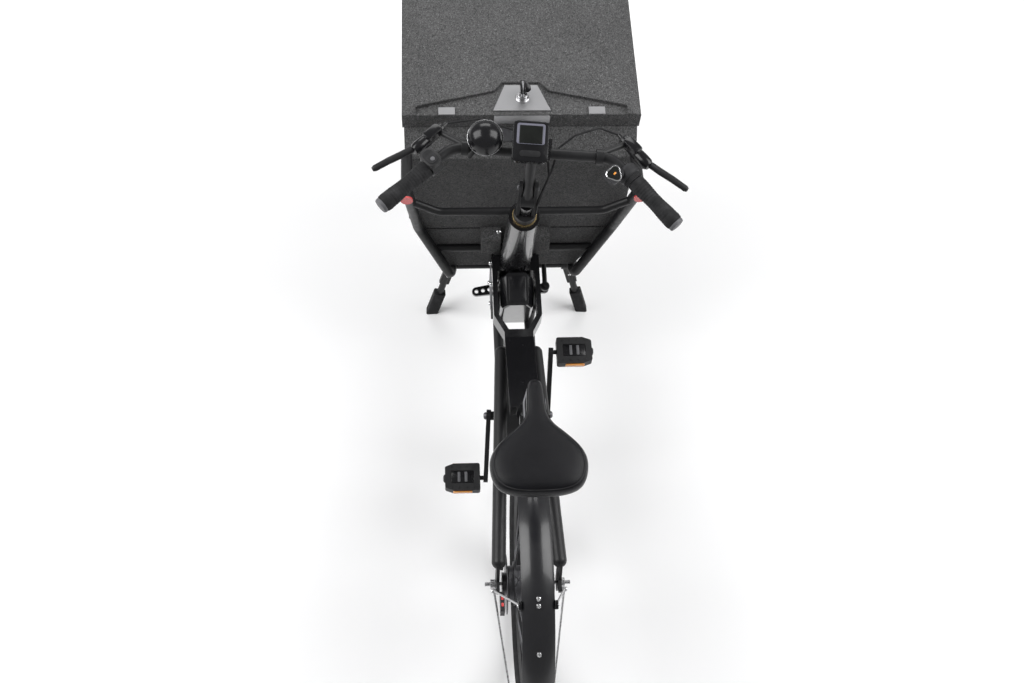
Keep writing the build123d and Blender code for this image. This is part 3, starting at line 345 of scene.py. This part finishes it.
# Mesh tools
def piece(name, body, mesh, finish, matrix=Matrix(), sharp=35.0, level=0):
    """Makes an object of a mesh, gives it a finish and lets it ride on a body."""
    bmesh.ops.recalc_face_normals(mesh, faces=mesh.faces)
    data = bpy.data.meshes.new(name)
    mesh.to_mesh(data)
    mesh.free()
    data.transform(matrix)
    data.materials.append(FINISH[finish])
    data.polygons.foreach_set("use_smooth", [True] * len(data.polygons))
    data.set_sharp_from_angle(angle=math.radians(sharp))
    obj = bpy.data.objects.new(name, data)
    scene.collection.objects.link(obj)
    if level:
        smooth = obj.modifiers.new("smooth", "SUBSURF")
        smooth.levels = smooth.render_levels = level
    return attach(obj, body)


def facing(place, normal):
    """Frame at a place whose Z runs along a normal."""
    return Matrix.Translation(place) @ Vector(normal).to_track_quat("Z", "Y").to_matrix().to_4x4()


def bridge(mesh, rings):
    """Joins closed rings of vertices one after another; a ring of one vertex is a tip."""
    for low, high in zip(rings, rings[1:]):
        count = max(len(low), len(high))
        for i in range(count):
            j = (i + 1) % count
            corners = (low[i % len(low)], low[j % len(low)], high[j % len(high)], high[i % len(high)])
            mesh.faces.new(list(dict.fromkeys(corners)))


def lathe(mesh, profile, matrix, segments, ribs=0, depth=0.0):
    """Turns (radius, height) points round Z; ribs are shallow flutes along it."""
    rings = []
    for radius, height in profile:
        if radius < 1e-6:
            rings.append([mesh.verts.new(matrix @ Vector((0, 0, height)))])
            continue
        ring = []
        for i in range(segments):
            a = 2 * math.pi * i / segments
            r = radius + depth * math.cos(ribs * a)
            ring.append(mesh.verts.new(matrix @ Vector((r * math.cos(a), r * math.sin(a), height))))
        rings.append(ring)
    bridge(mesh, rings)


def slab(mesh, width, length, height, corner, matrix, soft, steps=5):
    """Plate with round corners standing on Z = 0, its upper edge softened."""
    rings = []
    for inset, z in ((0, 0), (0, height - soft), (0.3 * soft, height - 0.3 * soft), (soft, height)):
        ring = []
        for k, (sx, sy) in enumerate(((1, 1), (-1, 1), (-1, -1), (1, -1))):
            for i in range(steps):
                a = math.pi / 2 * (k + i / (steps - 1))
                r = max(corner - inset, 1e-5)
                x = sx * (width / 2 - corner) + r * math.cos(a)
                y = sy * (length / 2 - corner) + r * math.sin(a)
                ring.append(mesh.verts.new(matrix @ Vector((x, y, z))))
        rings.append(ring)
    bridge(mesh, rings)
    mesh.faces.new(rings[0])
    mesh.faces.new(rings[-1])


def tube(mesh, path, radius, sides=8):
    """Closed ring of tube along a path that comes back to its start."""
    rings = []
    for i, p in enumerate(path):
        ahead = (path[(i + 1) % len(path)] - path[i - 1]).normalized()
        out = ahead.cross(Vector((0, 0, 1))).normalized()
        up = out.cross(ahead)
        turns = [2 * math.pi * k / sides for k in range(sides)]
        rings.append([mesh.verts.new(p + radius * (math.cos(a) * out + math.sin(a) * up)) for a in turns])
    bridge(mesh, rings + rings[:1])


def bolts(name, body, rows, matrix=Matrix(), finish="chrome"):
    """Button-head screws with a socket, from rows of place, normal and radius."""
    mesh = bmesh.new()
    for place, normal, r in rows:
        head = [(r, -0.001), (r, 0.25 * r), (0.82 * r, 0.6 * r), (0.5 * r, 0.75 * r), (0.46 * r, 0.75 * r),
                (0.42 * r, 0.3 * r), (0, 0.3 * r)]
        lathe(mesh, head, matrix @ facing(place, normal), 20)
    return piece(name, body, mesh, finish)


def turned(name, body, finish, profile, matrix, segments, ribs=0, depth=0.0):
    """Piece made of one turned profile."""
    mesh = bmesh.new()
    lathe(mesh, profile, matrix, segments, ribs, depth)
    return piece(name, body, mesh, finish)


def plates(name, body, finish, size, places, soft=0.0008):
    """Piece made of plates of one size (width, length, height, corner) at one or more places."""
    mesh = bmesh.new()
    for place in places:
        slab(mesh, *size, place, soft)
    return piece(name, body, mesh, finish)


def both_sides(rows):
    """Rows and their mirror images across the bike's middle plane."""
    flip = Vector((-1, 1, 1))
    return rows + [(place * flip, Vector(normal) * flip, r) for place, normal, r in rows]


# Tyres with a road tread
REAR_RADIUS, FRONT_RADIUS, FRONT_AXLE_Y = 0.338, 0.246, 1.610
REAR_TYRE_WIDTH, FRONT_TYRE_WIDTH = 0.054, 0.050
TREAD_AROUND, TREAD_ACROSS, GROOVE_DEPTH = 288, 45, 0.0014
TREAD_WRAP = 146.0  # degrees from the crown to each edge


def grooved(i, j, middle):
    """Whether a point of the tread lies in a groove; rows are counted from the crown."""
    side = abs(j - middle)
    stagger = 3 if j > middle else 0
    running_round = side in (2, 6)
    shoulder_cut = 6 < side < 11 and (i + stagger) % 6 == 0
    slanted_cut = 2 < side < 6 and (i + side) % 9 == 0
    return running_round or shoulder_cut or slanted_cut


def tread(name, body, y, radius, width, rest):
    """Closed tyre with its grooves, in place of the plain one."""
    mesh = bmesh.new()
    middle = TREAD_ACROSS // 2
    rings = []
    for i in range(TREAD_AROUND):
        a = 2 * math.pi * i / TREAD_AROUND
        ring = []
        for j in range(TREAD_ACROSS):
            b = math.radians(TREAD_WRAP * (j - middle) / middle)
            r = width / 2 - (GROOVE_DEPTH if grooved(i, j, middle) else 0.0)
            reach = radius - width / 2 + r * math.cos(b)
            ring.append(mesh.verts.new((r * math.sin(b), reach * math.sin(a), reach * math.cos(a))))
        rings.append(ring)
    bridge(mesh, rings + rings[:1])
    tyre = piece(f"{name}_tread", body, mesh, "tyre", rest @ Matrix.Translation(at(0, y, radius)), 50.0)
    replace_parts(tyre, f"{name}_tyre")


tread("rear", "rear_wheel", 0.0, REAR_RADIUS, REAR_TYRE_WIDTH, Matrix())
tread("front", "front_wheel", FRONT_AXLE_Y, FRONT_RADIUS, FRONT_TYRE_WIDTH, FORKED)

# Chain of single links round ring and cog
CRANK_Y, CRANK_Z = 0.478, 0.290
CHAIN_X, PITCH = 0.059, 0.0127
RING_R, COG_R = 0.0765, 0.0465
LINK_WIDTH, LINK_THICK, LINK_CORNER, LINK_PAST_PIN = 0.0064, 0.0009, 0.0031, 0.0030
INNER_LINK_X, OUTER_LINK_X = 0.0023, 0.0034
PIN_R, PIN_HALF = 0.0026, 0.0039
TEETH, POINTS_PER_TOOTH, TOOTH_DEPTH = 38, 8, 0.0021


def chain_route(steps=60):
    """Points round ring and cog in the side view, with straight runs between the two arcs."""
    ring, cog = Vector((CRANK_Y, CRANK_Z)), Vector((0.0, REAR_RADIUS))
    line = cog - ring
    along = math.atan2(line.y, line.x)
    lean = math.acos((RING_R - COG_R) / line.length)
    arcs = (
        # centre, radius, start, sweep
        (ring, RING_R, along + lean, 2 * (math.pi - lean)),
        (cog, COG_R, along - lean, 2 * lean),
    )
    points = []
    for centre, r, start, sweep in arcs:
        for i in range(steps + 1):
            a = start + sweep * i / steps
            points.append(centre + r * Vector((math.cos(a), math.sin(a))))
    return points + points[:1]


def spaced(points, pitch):
    """An even number of points a pitch apart, as near as the route's length allows."""
    runs = [(q - p).length for p, q in zip(points, points[1:])]
    count = 2 * round(sum(runs) / pitch / 2)
    step = sum(runs) / count
    found, k, before = [], 0, 0.0
    for i in range(count):
        while before + runs[k] < i * step:
            before += runs[k]
            k += 1
        found.append(points[k].lerp(points[k + 1], (i * step - before) / max(runs[k], 1e-9)))
    return found


def chain_links():
    """Inner and outer link plates in turn, with a pin at each joint, in place of the plain chain."""
    mesh = bmesh.new()
    pin = [(0, -PIN_HALF), (PIN_R, -PIN_HALF), (PIN_R, PIN_HALF), (0, PIN_HALF)]
    pins = spaced(chain_route(), PITCH)
    for i, p in enumerate(pins):
        q = pins[(i + 1) % len(pins)]
        run, middle = q - p, (p + q) / 2
        turn = Matrix.Rotation(math.atan2(run.y, run.x), 4, "X") @ Matrix.Rotation(math.pi / 2, 4, "Y")
        for s in (-1, 1):
            x = CHAIN_X + s * (OUTER_LINK_X if i % 2 else INNER_LINK_X) - LINK_THICK / 2
            place = Matrix.Translation(at(x, middle.x, middle.y)) @ turn
            length = run.length + 2 * LINK_PAST_PIN
            slab(mesh, LINK_WIDTH, length, LINK_THICK, LINK_CORNER, place, 0.0002, 4)
        lathe(mesh, pin, facing(at(CHAIN_X, p.x, p.y), (1, 0, 0)), 10)
    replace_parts(piece("chain_links", "frame", mesh, "gunmetal"), "chain")


chain_links()
teeth = [(0.058, -0.0023), (0.0712, -0.0017), (0.0712, 0.0017), (0.058, 0.0023)]
ring_at = facing(at(CHAIN_X, CRANK_Y, CRANK_Z), (1, 0, 0))
turned("ring_teeth", "crank", "steel", teeth, ring_at, TEETH * POINTS_PER_TOOTH, TEETH, TOOTH_DEPTH)

# Saddle: stuffed leather with a sewn edge, and a lighter tube along its seam as a painted highlight on the
# rim
NOSE_Y, TAIL_Y, SADDLE_TOP = 0.302, 0.031, 0.905
SPINE_BACK_Y, SPINE_FRONT_Y = TAIL_Y + 0.075, NOSE_Y - 0.024
NOSE_FALL, FALL_FROM_Y, FALL_RUN = 0.009, 0.10, 0.19
PIPING_INSET, PIPING_DROP, PIPING_R = 0.085, 0.0116, 0.0013
SADDLE_HALF = [
    # half width, distance back from the nose
    (0.0, 0.0), (0.0115, 0.0040), (0.0170, 0.0160), (0.0195, 0.0390), (0.0208, 0.0620), (0.0245, 0.0860),
    (0.0375, 0.1095), (0.0650, 0.1335), (0.0910, 0.1590), (0.1040, 0.1850), (0.1048, 0.2120),
    (0.0975, 0.2380), (0.0825, 0.2555), (0.0580, 0.2650), (0.0300, 0.2685), (0.0, 0.2690),
]
SADDLE_LAYERS = [
    # share in from the edge, depth below the top
    (0.14, 0.0465), (0.03, 0.0455), (-0.005, 0.0350), (0.0, 0.0240), (0.03, 0.0165), (0.07, 0.0118),
    (0.085, 0.0126), (0.10, 0.0104), (0.17, 0.0068), (0.30, 0.0036), (0.50, 0.0014), (0.72, 0.0004),
    (0.90, 0.0),
]


def saddle_edge(steps):
    """Points round the saddle, smoothed between the rows of its half outline."""
    right = [Vector((x, NOSE_Y - back)) for x, back in SADDLE_HALF]
    ring = right + [Vector((-p.x, p.y)) for p in reversed(right[1:-1])]
    points = []
    for k in range(len(ring)):
        a, b, c, d = (ring[(k + m) % len(ring)] for m in (-1, 0, 1, 2))
        for i in range(steps):
            t = i / steps
            point = 2 * b + (c - a) * t
            point += (2 * a - 5 * b + 4 * c - d) * t ** 2
            point += (3 * b - a - 3 * c + d) * t ** 3
            points.append(0.5 * point)
    return points


def saddle_point(edge, inset, drop):
    """Point a share of the way in from the edge, so far below the top; the nose falls away."""
    spine = Vector((0.0, min(max(edge.y, SPINE_BACK_Y), SPINE_FRONT_Y)))
    p = edge.lerp(spine, inset)
    fall = NOSE_FALL * max(0.0, (p.y - FALL_FROM_Y) / FALL_RUN) ** 2
    return at(p.x, p.y, SADDLE_TOP - drop - fall)


edge = saddle_edge(6)
mesh = bmesh.new()
rings = [[mesh.verts.new(saddle_point(e, inset, drop)) for e in edge] for inset, drop in SADDLE_LAYERS]
bridge(mesh, rings)
mesh.faces.new(rings[0])
top = rings[-1]
for i in range(len(edge) // 2):
    corners = (top[i], top[i + 1], top[-i - 1], top[-i])
    mesh.faces.new(list(dict.fromkeys(corners)))
saddle = piece("saddle_cover", "frame", mesh, "leather", sharp=180.0, level=1)
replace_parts(saddle, "saddle")
# Tube along the seam in rubber lighter than the leather: a painted highlight along the saddle's rim
mesh = bmesh.new()
tube(mesh, [saddle_point(e, PIPING_INSET, PIPING_DROP) for e in edge], PIPING_R)
piece("saddle_piping_highlight", "frame", mesh, "rubber")

# Handlebar fittings, drawn straight ahead and turned with the steering
BAR_Y, BAR_Z = 0.757, 1.098
GRIP_END, BAR_BEND = Vector((0.320, 0.615, 1.068)), Vector((0.178, BAR_Y, BAR_Z))
GRIP_LENGTH = 0.128
GRIP_RIBS, RIB_START, RIB_STEP = 15, 0.016, 0.0068
ALONG_X = Matrix.Rotation(math.pi / 2, 4, "Y")


def on_grip(side, distance):
    """Frame on a grip: X along it towards the stem, Z up; side is 1 right, -1 left."""
    flip = Vector((side, 1, 1))
    along = ((BAR_BEND - GRIP_END) * flip).normalized()
    up = (Vector((0, 0, 1)) - along * along.z).normalized()
    turn = Matrix((along, up.cross(along), up)).transposed().to_4x4()
    return STEERED @ Matrix.Translation(at(*(GRIP_END * flip)) + along * distance) @ turn


def tilted(x, y, z, pitch):
    """Frame that turns with the steering, tipped back towards the rider by degrees."""
    return STEERED @ Matrix.Translation(at(x, y, z)) @ Matrix.Rotation(math.radians(pitch), 4, "X")


sleeve = [(0.0124, -0.002), (0.0170, -0.002), (0.0194, 0.002), (0.0202, 0.010)]
for k in range(GRIP_RIBS):
    start = RIB_START + RIB_STEP * k
    r = 0.0187 + 0.0011 * math.cos(2 * math.pi * k / (GRIP_RIBS - 1))
    sleeve += [(r, start), (r, start + 0.0045), (r - 0.0005, start + 0.0052), (r - 0.0005, start + 0.0062)]
sleeve += [(0.0199, 0.121), (0.0199, 0.1265), (0.0188, GRIP_LENGTH), (0.0124, GRIP_LENGTH)]
plug = [(0, -0.0100), (0.010, -0.0100), (0.0164, -0.0085), (0.0180, -0.0050), (0.0180, -0.0015)]
grips, plugs = bmesh.new(), bmesh.new()
for s in (1, -1):
    lathe(grips, sleeve, on_grip(s, 0) @ ALONG_X, 40)
    lathe(plugs, plug, on_grip(s, 0) @ ALONG_X, 40)
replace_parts(piece("grip_sleeves", "steering", grips, "rubber"), "grips")
piece("grip_plugs", "steering", plugs, "grey")
knurl = [(0.0207, 0.1295), (0.0212, 0.1305), (0.0212, 0.1395), (0.0207, 0.1405)]
turned("shifter_knurl", "steering", "rubber", knurl, on_grip(1, 0) @ ALONG_X, 128, 32, 0.0005)

display_at = tilted(-0.008, BAR_Y - 0.006, BAR_Z + 0.044, 24)
indicator_at = tilted(0.180, 0.706, 1.106, 18) @ Matrix.Rotation(math.radians(-40), 4, "Z")
pod_at = on_grip(-1, GRIP_LENGTH + 0.015)
bell_at = tilted(-0.107, BAR_Y + 0.008, BAR_Z + 0.032, 25)
thumb_at = bell_at @ Matrix.Translation((-0.026, -0.034, -0.010)) @ Matrix.Rotation(-0.6, 4, "Z")
PANELS = [
    # name, finish, frame, place in it, (width, length, height, corner)
    ("display_bezel", "shiny", display_at, (0.0, 0.0, 0.0088), (0.078, 0.088, 0.0020, 0.011)),
    ("display_frame", "lilac", display_at, (0.0, 0.0165, 0.0102), (0.062, 0.046, 0.0018, 0.005)),
    ("display_screen", "glass", display_at, (0.0, 0.0150, 0.0114), (0.051, 0.040, 0.0013, 0.002)),
    ("display_keys", "rubber", display_at, (0.0, -0.0270, 0.0104), (0.046, 0.014, 0.0014, 0.006)),
    ("indicator_mark", "orange", indicator_at, (0.001, 0.001, 0.0090), (0.004, 0.007, 0.0010, 0.0015)),
    ("remote_cover", "plastic", pod_at, (0.0, 0.002, 0.0150), (0.036, 0.046, 0.0130, 0.013)),
    ("remote_plate", "rubber", pod_at, (0.0, 0.002, 0.0275), (0.026, 0.036, 0.0025, 0.010)),
    ("remote_button", "grey", pod_at, (0.0, -0.006, 0.0294), (0.010, 0.010, 0.0018, 0.0045)),
    ("bell_thumb", "plastic", thumb_at, (0.0, 0.0, 0.0), (0.010, 0.030, 0.0040, 0.0045)),
]
for name, finish, where, place, size in PANELS:
    height = size[2]
    plates(name, "steering", finish, size, [where @ Matrix.Translation(place)], min(0.0007, 0.3 * height))
rim = [(0.0172, 0.0060), (0.0176, 0.0080), (0.0164, 0.0092), (0.0146, 0.0086)]
glass = [(0.0150, 0.0078), (0.0150, 0.0086), (0.0, 0.0092)]
CORNERS, CORNER_DEPTH = 3, 0.0024
triangle_at = indicator_at @ Matrix.Rotation(math.radians(-5), 4, "Z")
turned("indicator_rim", "steering", "chrome", rim, triangle_at, 48, CORNERS, CORNER_DEPTH)
turned("indicator_glass", "steering", "glass", glass, triangle_at, 48, CORNERS, CORNER_DEPTH)

# Brake levers: fluid housings and flat blades round the plain rods
LEVER_IN, LEVER_OUT = Vector((0.204, 0.820, 1.086)), Vector((0.254, 0.762, 1.084))
LEVER_BLADE = [
    # point of the middle line, half width
    (LEVER_OUT, 0.0078),
    (Vector((0.270, 0.7555, 1.080)), 0.0085),
    (Vector((0.290, 0.745, 1.0745)), 0.0088),
    (Vector((0.318, 0.727, 1.0725)), 0.0084),
    (Vector((0.346, 0.707, 1.070)), 0.0078),
    (Vector((0.351, 0.7035, 1.0695)), 0.0050),
]
BLADE_HALF_HEIGHT, BLADE_SIDES = 0.0068, 20
CLAMP_SHARE, CLAMP_SIZE = 0.42, (0.024, 0.046, 0.0175, 0.008)
housing = [
    (0, -0.014), (0.0052, -0.014), (0.0060, -0.003), (0.0105, -0.001), (0.0128, 0.006), (0.0132, 0.034),
    (0.0142, 0.050), (0.0150, 0.068), (0.0142, 0.084), (0.0100, 0.091), (0, 0.0925),
]
housings, blades = bmesh.new(), bmesh.new()
for s in (1, -1):
    flip = Vector((s, 1, 1))
    run = (LEVER_OUT - LEVER_IN) * flip
    lathe(housings, housing, STEERED @ facing(at(*(LEVER_IN * flip)), run), 28)
    middle = at(*((LEVER_IN.lerp(LEVER_OUT, CLAMP_SHARE)) * flip))
    turn = Matrix.Rotation(math.atan2(-run.x, run.y), 4, "Z")
    slab(housings, *CLAMP_SIZE, STEERED @ Matrix.Translation(middle) @ turn, 0.003)
    rings = []
    for k, (p, half) in enumerate(LEVER_BLADE):
        after, before = LEVER_BLADE[min(k + 1, len(LEVER_BLADE) - 1)][0], LEVER_BLADE[max(k - 1, 0)][0]
        ahead = (after - before).normalized()
        wide = ahead.cross(Vector((0, 0, 1))).normalized()
        tall = wide.cross(ahead)
        spread = [2 * math.pi * i / BLADE_SIDES for i in range(BLADE_SIDES)]
        thick = min(half, BLADE_HALF_HEIGHT)
        row = [p + half * math.cos(a) * wide + thick * math.sin(a) * tall for a in spread]
        rings.append([blades.verts.new(STEERED @ at(*(q * flip))) for q in row])
    bridge(blades, rings)
    blades.faces.new(rings[0])
    blades.faces.new(rings[-1])
piece("lever_housings", "steering", housings, "shiny")
piece("lever_blades", "steering", blades, "satin")

# Bell ring and stem screws
bell = [(0.0380, -0.0030), (0.0396, -0.0034), (0.0402, -0.0018), (0.0400, 0.0004), (0.0390, 0.0010)]
turned("bell_ring", "steering", "steel", bell, bell_at, 56)
stem_screws = [
    (at(0.022, column_y(0.874), 0.874), (1, 0, 0), 0.0065),
    (at(0.022, column_y(0.916) + 0.005, 0.985), (1, 0, 0), 0.0055),
    (at(0.016, BAR_Y - 0.0185, BAR_Z - 0.0075), (0, -0.92, -0.38), 0.0045),
]
bolts("stem_screws", "steering", both_sides(stem_screws), STEERED, "gunmetal")

# Lock ring, the key's dark bow with its tag, and the skirt below the lock plate
LID_REAR = 0.976
LOCK = at(0.002, LID_REAR + 0.048, 0.957)
barrel = [
    (0.0170, -0.001), (0.0170, 0.0015), (0.0150, 0.003), (0.0122, 0.003), (0.0122, 0.0105),
    (0.0112, 0.0115), (0.0042, 0.0115),
]
turned("lock_ring", "lid", "steel", barrel, Matrix.Translation(LOCK), 40)
BOW_SIZE, TAG_SIZE = (0.036, 0.022, 0.0048, 0.0108), (0.020, 0.030, 0.0060, 0.0090)
mesh = bmesh.new()
for s in (-1, 1):
    cover = facing(LOCK + Vector((s * 0.0014, 0.006, 0.031)), (s, 0, 0))
    slab(mesh, *BOW_SIZE, cover, 0.0018, 8)
tag = facing(LOCK + Vector((0.007, 0.017, 0.020)), (0.15, -0.55, 0.83)) @ Matrix.Rotation(0.5, 4, "Z")
slab(mesh, *TAG_SIZE, tag, 0.0020, 8)
piece("key_bow", "lid", mesh, "shiny")
skirt_at = facing(at(0, LID_REAR, 0.934), (0, -1, 0))
plates("lock_skirt", "lid", "alloy", (0.136, 0.030, 0.0014, 0.004), [skirt_at], 0.0004)

# Paint skin of the column
COLUMN_TOP, BEAM_TOP = 0.848, 0.298
SKIN_FOOT_R, SKIN_TAPER = 0.04415, 0.006
SKIN_HEIGHTS = (0.545, 0.650, 0.750, 0.8475)


def on_column(z):
    """Frame on the steering column's axis at a height, with Z along it."""
    return Matrix.Translation(at(0, column_y(z), z)) @ Matrix.Rotation(LEAN, 4, "X")


skin = []
for z in SKIN_HEIGHTS:
    share = (z - BEAM_TOP) / (COLUMN_TOP - BEAM_TOP)
    skin.append((SKIN_FOOT_R - SKIN_TAPER * share, (z - COLUMN_TOP) / math.cos(LEAN)))
turned("column_skin", "frame", "gloss", skin, on_column(COLUMN_TOP), 96)

# Coupling plates beside the battery, frame screws and battery panel
plates_at = [facing(at(s * 0.062, 0.854, 0.355), (s, 0, 0)) for s in (-1, 1)]
plates("coupling_plates", "frame", "gunmetal", (0.100, 0.140, 0.0025, 0.012), plates_at)
plate_screws = [(at(0.0645, y, z), (1, 0, 0), 0.007) for y in (0.820, 0.888) for z in (0.300, 0.410)]
pad_screws = [(at(0.046, 0.905, 0.5405), (0, -0.5, 0.87), 0.007)]
eyelet_screws = [(at(0.089, -0.032, 0.388), (1, 0, 0), 0.006)]
bolts("frame_screws", "frame", both_sides(plate_screws + pad_screws + eyelet_screws))
BATTERY_TOP = 0.525
panel_at = on_column(BATTERY_TOP) @ Matrix.Translation((0, -0.092, -0.0002))
plates("battery_panel", "frame", "shiny", (0.046, 0.072, 0.0016, 0.006), [panel_at])

# Fender screws and stay clips, by their angle back from the top of the wheel
CROWN_R, CLIP_R = 0.3592, 0.3465
CROWN_ANGLES, CLIP_ANGLES = (21.5, 24.0, 41.5), (24, 100)
CLIP_X, CLIP_SIZE = 0.0372, (0.020, 0.013, 0.0070, 0.005)


def on_fender(radius, angle, x=0.0):
    """Place at a radius about the rear axle."""
    a = math.radians(angle)
    return at(x, -radius * math.sin(a), REAR_RADIUS + radius * math.cos(a))


crown_screws, clip_screws, clips_at = [], [], []
for angle in CROWN_ANGLES:
    a = math.radians(angle)
    crown_screws.append((on_fender(CROWN_R, angle), (0, -math.sin(a), math.cos(a)), 0.006))
for angle in CLIP_ANGLES:
    for s in (-1, 1):
        turn = Matrix.Rotation(math.radians(s * angle), 4, "Z")
        clips_at.append(facing(on_fender(CLIP_R, angle, s * CLIP_X), (s, 0, 0)) @ turn)
    clip_screws.append((on_fender(CLIP_R, angle, CLIP_X + CLIP_SIZE[2]), (1, 0, 0), 0.0035))
plates("stay_clips", "frame", "shiny", CLIP_SIZE, clips_at)
bolts("fender_screws", "frame", crown_screws + both_sides(clip_screws))

# Crank screws, and each pedal's reflectors, studs, end cap, dark sheets that are painted shade of its
# recess, and bars in light grey that are a painted highlight
crank_screws = [(at(0.0862, CRANK_Y, CRANK_Z), (1, 0, 0), 0.010)]
bolts("crank_screws", "crank", both_sides(crank_screws), finish="gunmetal")
CRANK_DY, CRANK_DZ = 0.1426, 0.0926
PEDAL_X, PEDAL_END, SHADE_SHEET_Z = 0.153, 0.0475, 0.0099
LENS_Y, STUD_Y, STUD_Z = 0.0386, 0.030, 0.0118
HIGHLIGHT_BAR_PLACES, STUD_PLACES = (-0.0095, 0.0095), (-0.030, -0.010, 0.010, 0.030)
stud = [(0.0022, 0), (0.0020, 0.0022), (0, 0.0024)]
end_cap = [(0.0110, -0.001), (0.0110, 0.002), (0.0070, 0.0045), (0, 0.005)]
for s, body in ((1, "pedal_right"), (-1, "pedal_left")):
    middle = at(s * PEDAL_X, CRANK_Y + s * CRANK_DY, CRANK_Z + s * CRANK_DZ)
    shade_sheets_at = [facing(middle + Vector((0, 0, up * SHADE_SHEET_Z)), (0, 0, up)) for up in (-1, 1)]
    highlight_bars_at = [shade_sheet @ Matrix.Translation((x, 0, 0)) for shade_sheet in shade_sheets_at for x in HIGHLIGHT_BAR_PLACES]
    lenses_at = [facing(middle + Vector((0, way * LENS_Y, 0)), (0, way, 0)) for way in (-1, 1)]
    studs = bmesh.new()
    for way in (-1, 1):
        for up in (-1, 1):
            for x in STUD_PLACES:
                place = middle + Vector((x, way * STUD_Y, up * STUD_Z))
                lathe(studs, stud, facing(place, (0, 0, up)), 10)
    lathe(studs, end_cap, facing(middle + Vector((s * PEDAL_END, 0, 0)), (s, 0, 0)), 28)
    plates(f"{body}_reflectors", body, "orange", (0.052, 0.013, 0.0030, 0.0025), lenses_at)
    piece(f"{body}_studs", body, studs, "plastic")
    # Dark glossy sheets on top and bottom: painted shade standing in for the pedal's darker recess
    plates(f"{body}_shade_sheets", body, "shiny", (0.061, 0.034, 0.0010, 0.003), shade_sheets_at, 0.0003)
    # Bars in light grey plastic: a painted highlight on the pedal's bars
    plates(f"{body}_bars", body, "grey", (0.0075, 0.029, 0.0026, 0.002), highlight_bars_at, 0.0006)

# Stand screws, one on each leg's back and one at each pivot
LEG_TOP, PIVOT_SCREW = at(0.172, 1.003, 0.208), at(0.184, 1.003, 0.208)
leg_dir = Vector((0.059, -0.037, -0.208)).normalized()
leg_back = leg_dir.cross(leg_dir.cross(Vector((0, 1, 0))).normalized())
leg_screws = [
    (LEG_TOP + leg_dir * 0.040 + leg_back * 0.0081, leg_back, 0.005),
    (PIVOT_SCREW, (1, 0, 0), 0.009),
]
bolts("stand_screws", "stand", both_sides(leg_screws))

# Headlamp and the red marks of the shift box
lamp_at = facing(at(0, 1.5891, 0.594), Vector((0, 0.048, -0.006)).normalized())
lens = [(0.0272, -0.001), (0.0268, 0.0012), (0.0200, 0.0042), (0.0100, 0.0058), (0, 0.0062)]
ring = [(0.0306, -0.010), (0.0306, 0.0015), (0.0290, 0.0028), (0.0272, 0.0015)]
turned("headlamp_lens", "frame", "lens", lens, lamp_at, 48)
turned("headlamp_ring", "frame", "chrome", ring, lamp_at, 48)
marks_at = [Matrix.Translation(at(-0.0665, y, 0.3958)) for y in (-0.068, -0.052)]
plates("shift_marks", "frame", "red", (0.006, 0.009, 0.0012, 0.002), marks_at, 0.0003)

# Floor and light
FLOOR_REACH, FLOOR_COLOUR = 14.0, (0.96, 0.96, 0.965, 1.0)
SKY_COLOUR, SKY_STRENGTH = (1.0, 1.0, 1.0, 1.0), 0.28
LAMPS = [
    # name, place, aims at, width, height, watts
    ("left", at(-3.4, 0.9, 3.6), at(0.0, 0.7, 0.3), 3.0, 3.6, 178.0),
    ("right", at(3.4, 0.9, 3.6), at(0.0, 0.7, 0.3), 3.0, 3.6, 170.0),
    ("front", at(0.0, 4.2, 3.2), at(0.0, 1.2, 0.8), 3.0, 1.6, 60.0),
]
floor_finish = bpy.data.materials.new("white_floor")
floor_finish.use_nodes = True
tree = floor_finish.node_tree
tree.nodes.clear()
surface = tree.nodes.new("ShaderNodeBsdfDiffuse")
surface.inputs["Color"].default_value = FLOOR_COLOUR
output = tree.nodes.new("ShaderNodeOutputMaterial")
tree.links.new(surface.outputs["BSDF"], output.inputs["Surface"])
floor_mesh = bpy.data.meshes.new("floor")
corners = [(x * FLOOR_REACH, y * FLOOR_REACH, 0) for x, y in ((-1, -1), (1, -1), (1, 1), (-1, 1))]
floor_mesh.from_pydata(corners, [], [(0, 1, 2, 3)])
floor_mesh.materials.append(floor_finish)
floor = bpy.data.objects.new("floor", floor_mesh)
scene.collection.objects.link(floor)

world = bpy.data.worlds.new("studio")
world.use_nodes = True
scene.world = world
sky = world.node_tree.nodes["Background"]
sky.inputs["Color"].default_value = SKY_COLOUR
sky.inputs["Strength"].default_value = SKY_STRENGTH

for name, place, aim, width, height, watts in LAMPS:
    data = bpy.data.lights.new(name, "AREA")
    data.shape = "RECTANGLE"
    data.size, data.size_y, data.energy = width, height, watts
    lamp = bpy.data.objects.new(name, data)
    turn = (aim - place).to_track_quat("-Z", "Y").to_matrix().to_4x4()
    lamp.matrix_world = Matrix.Translation(place) @ turn
    scene.collection.objects.link(lamp)
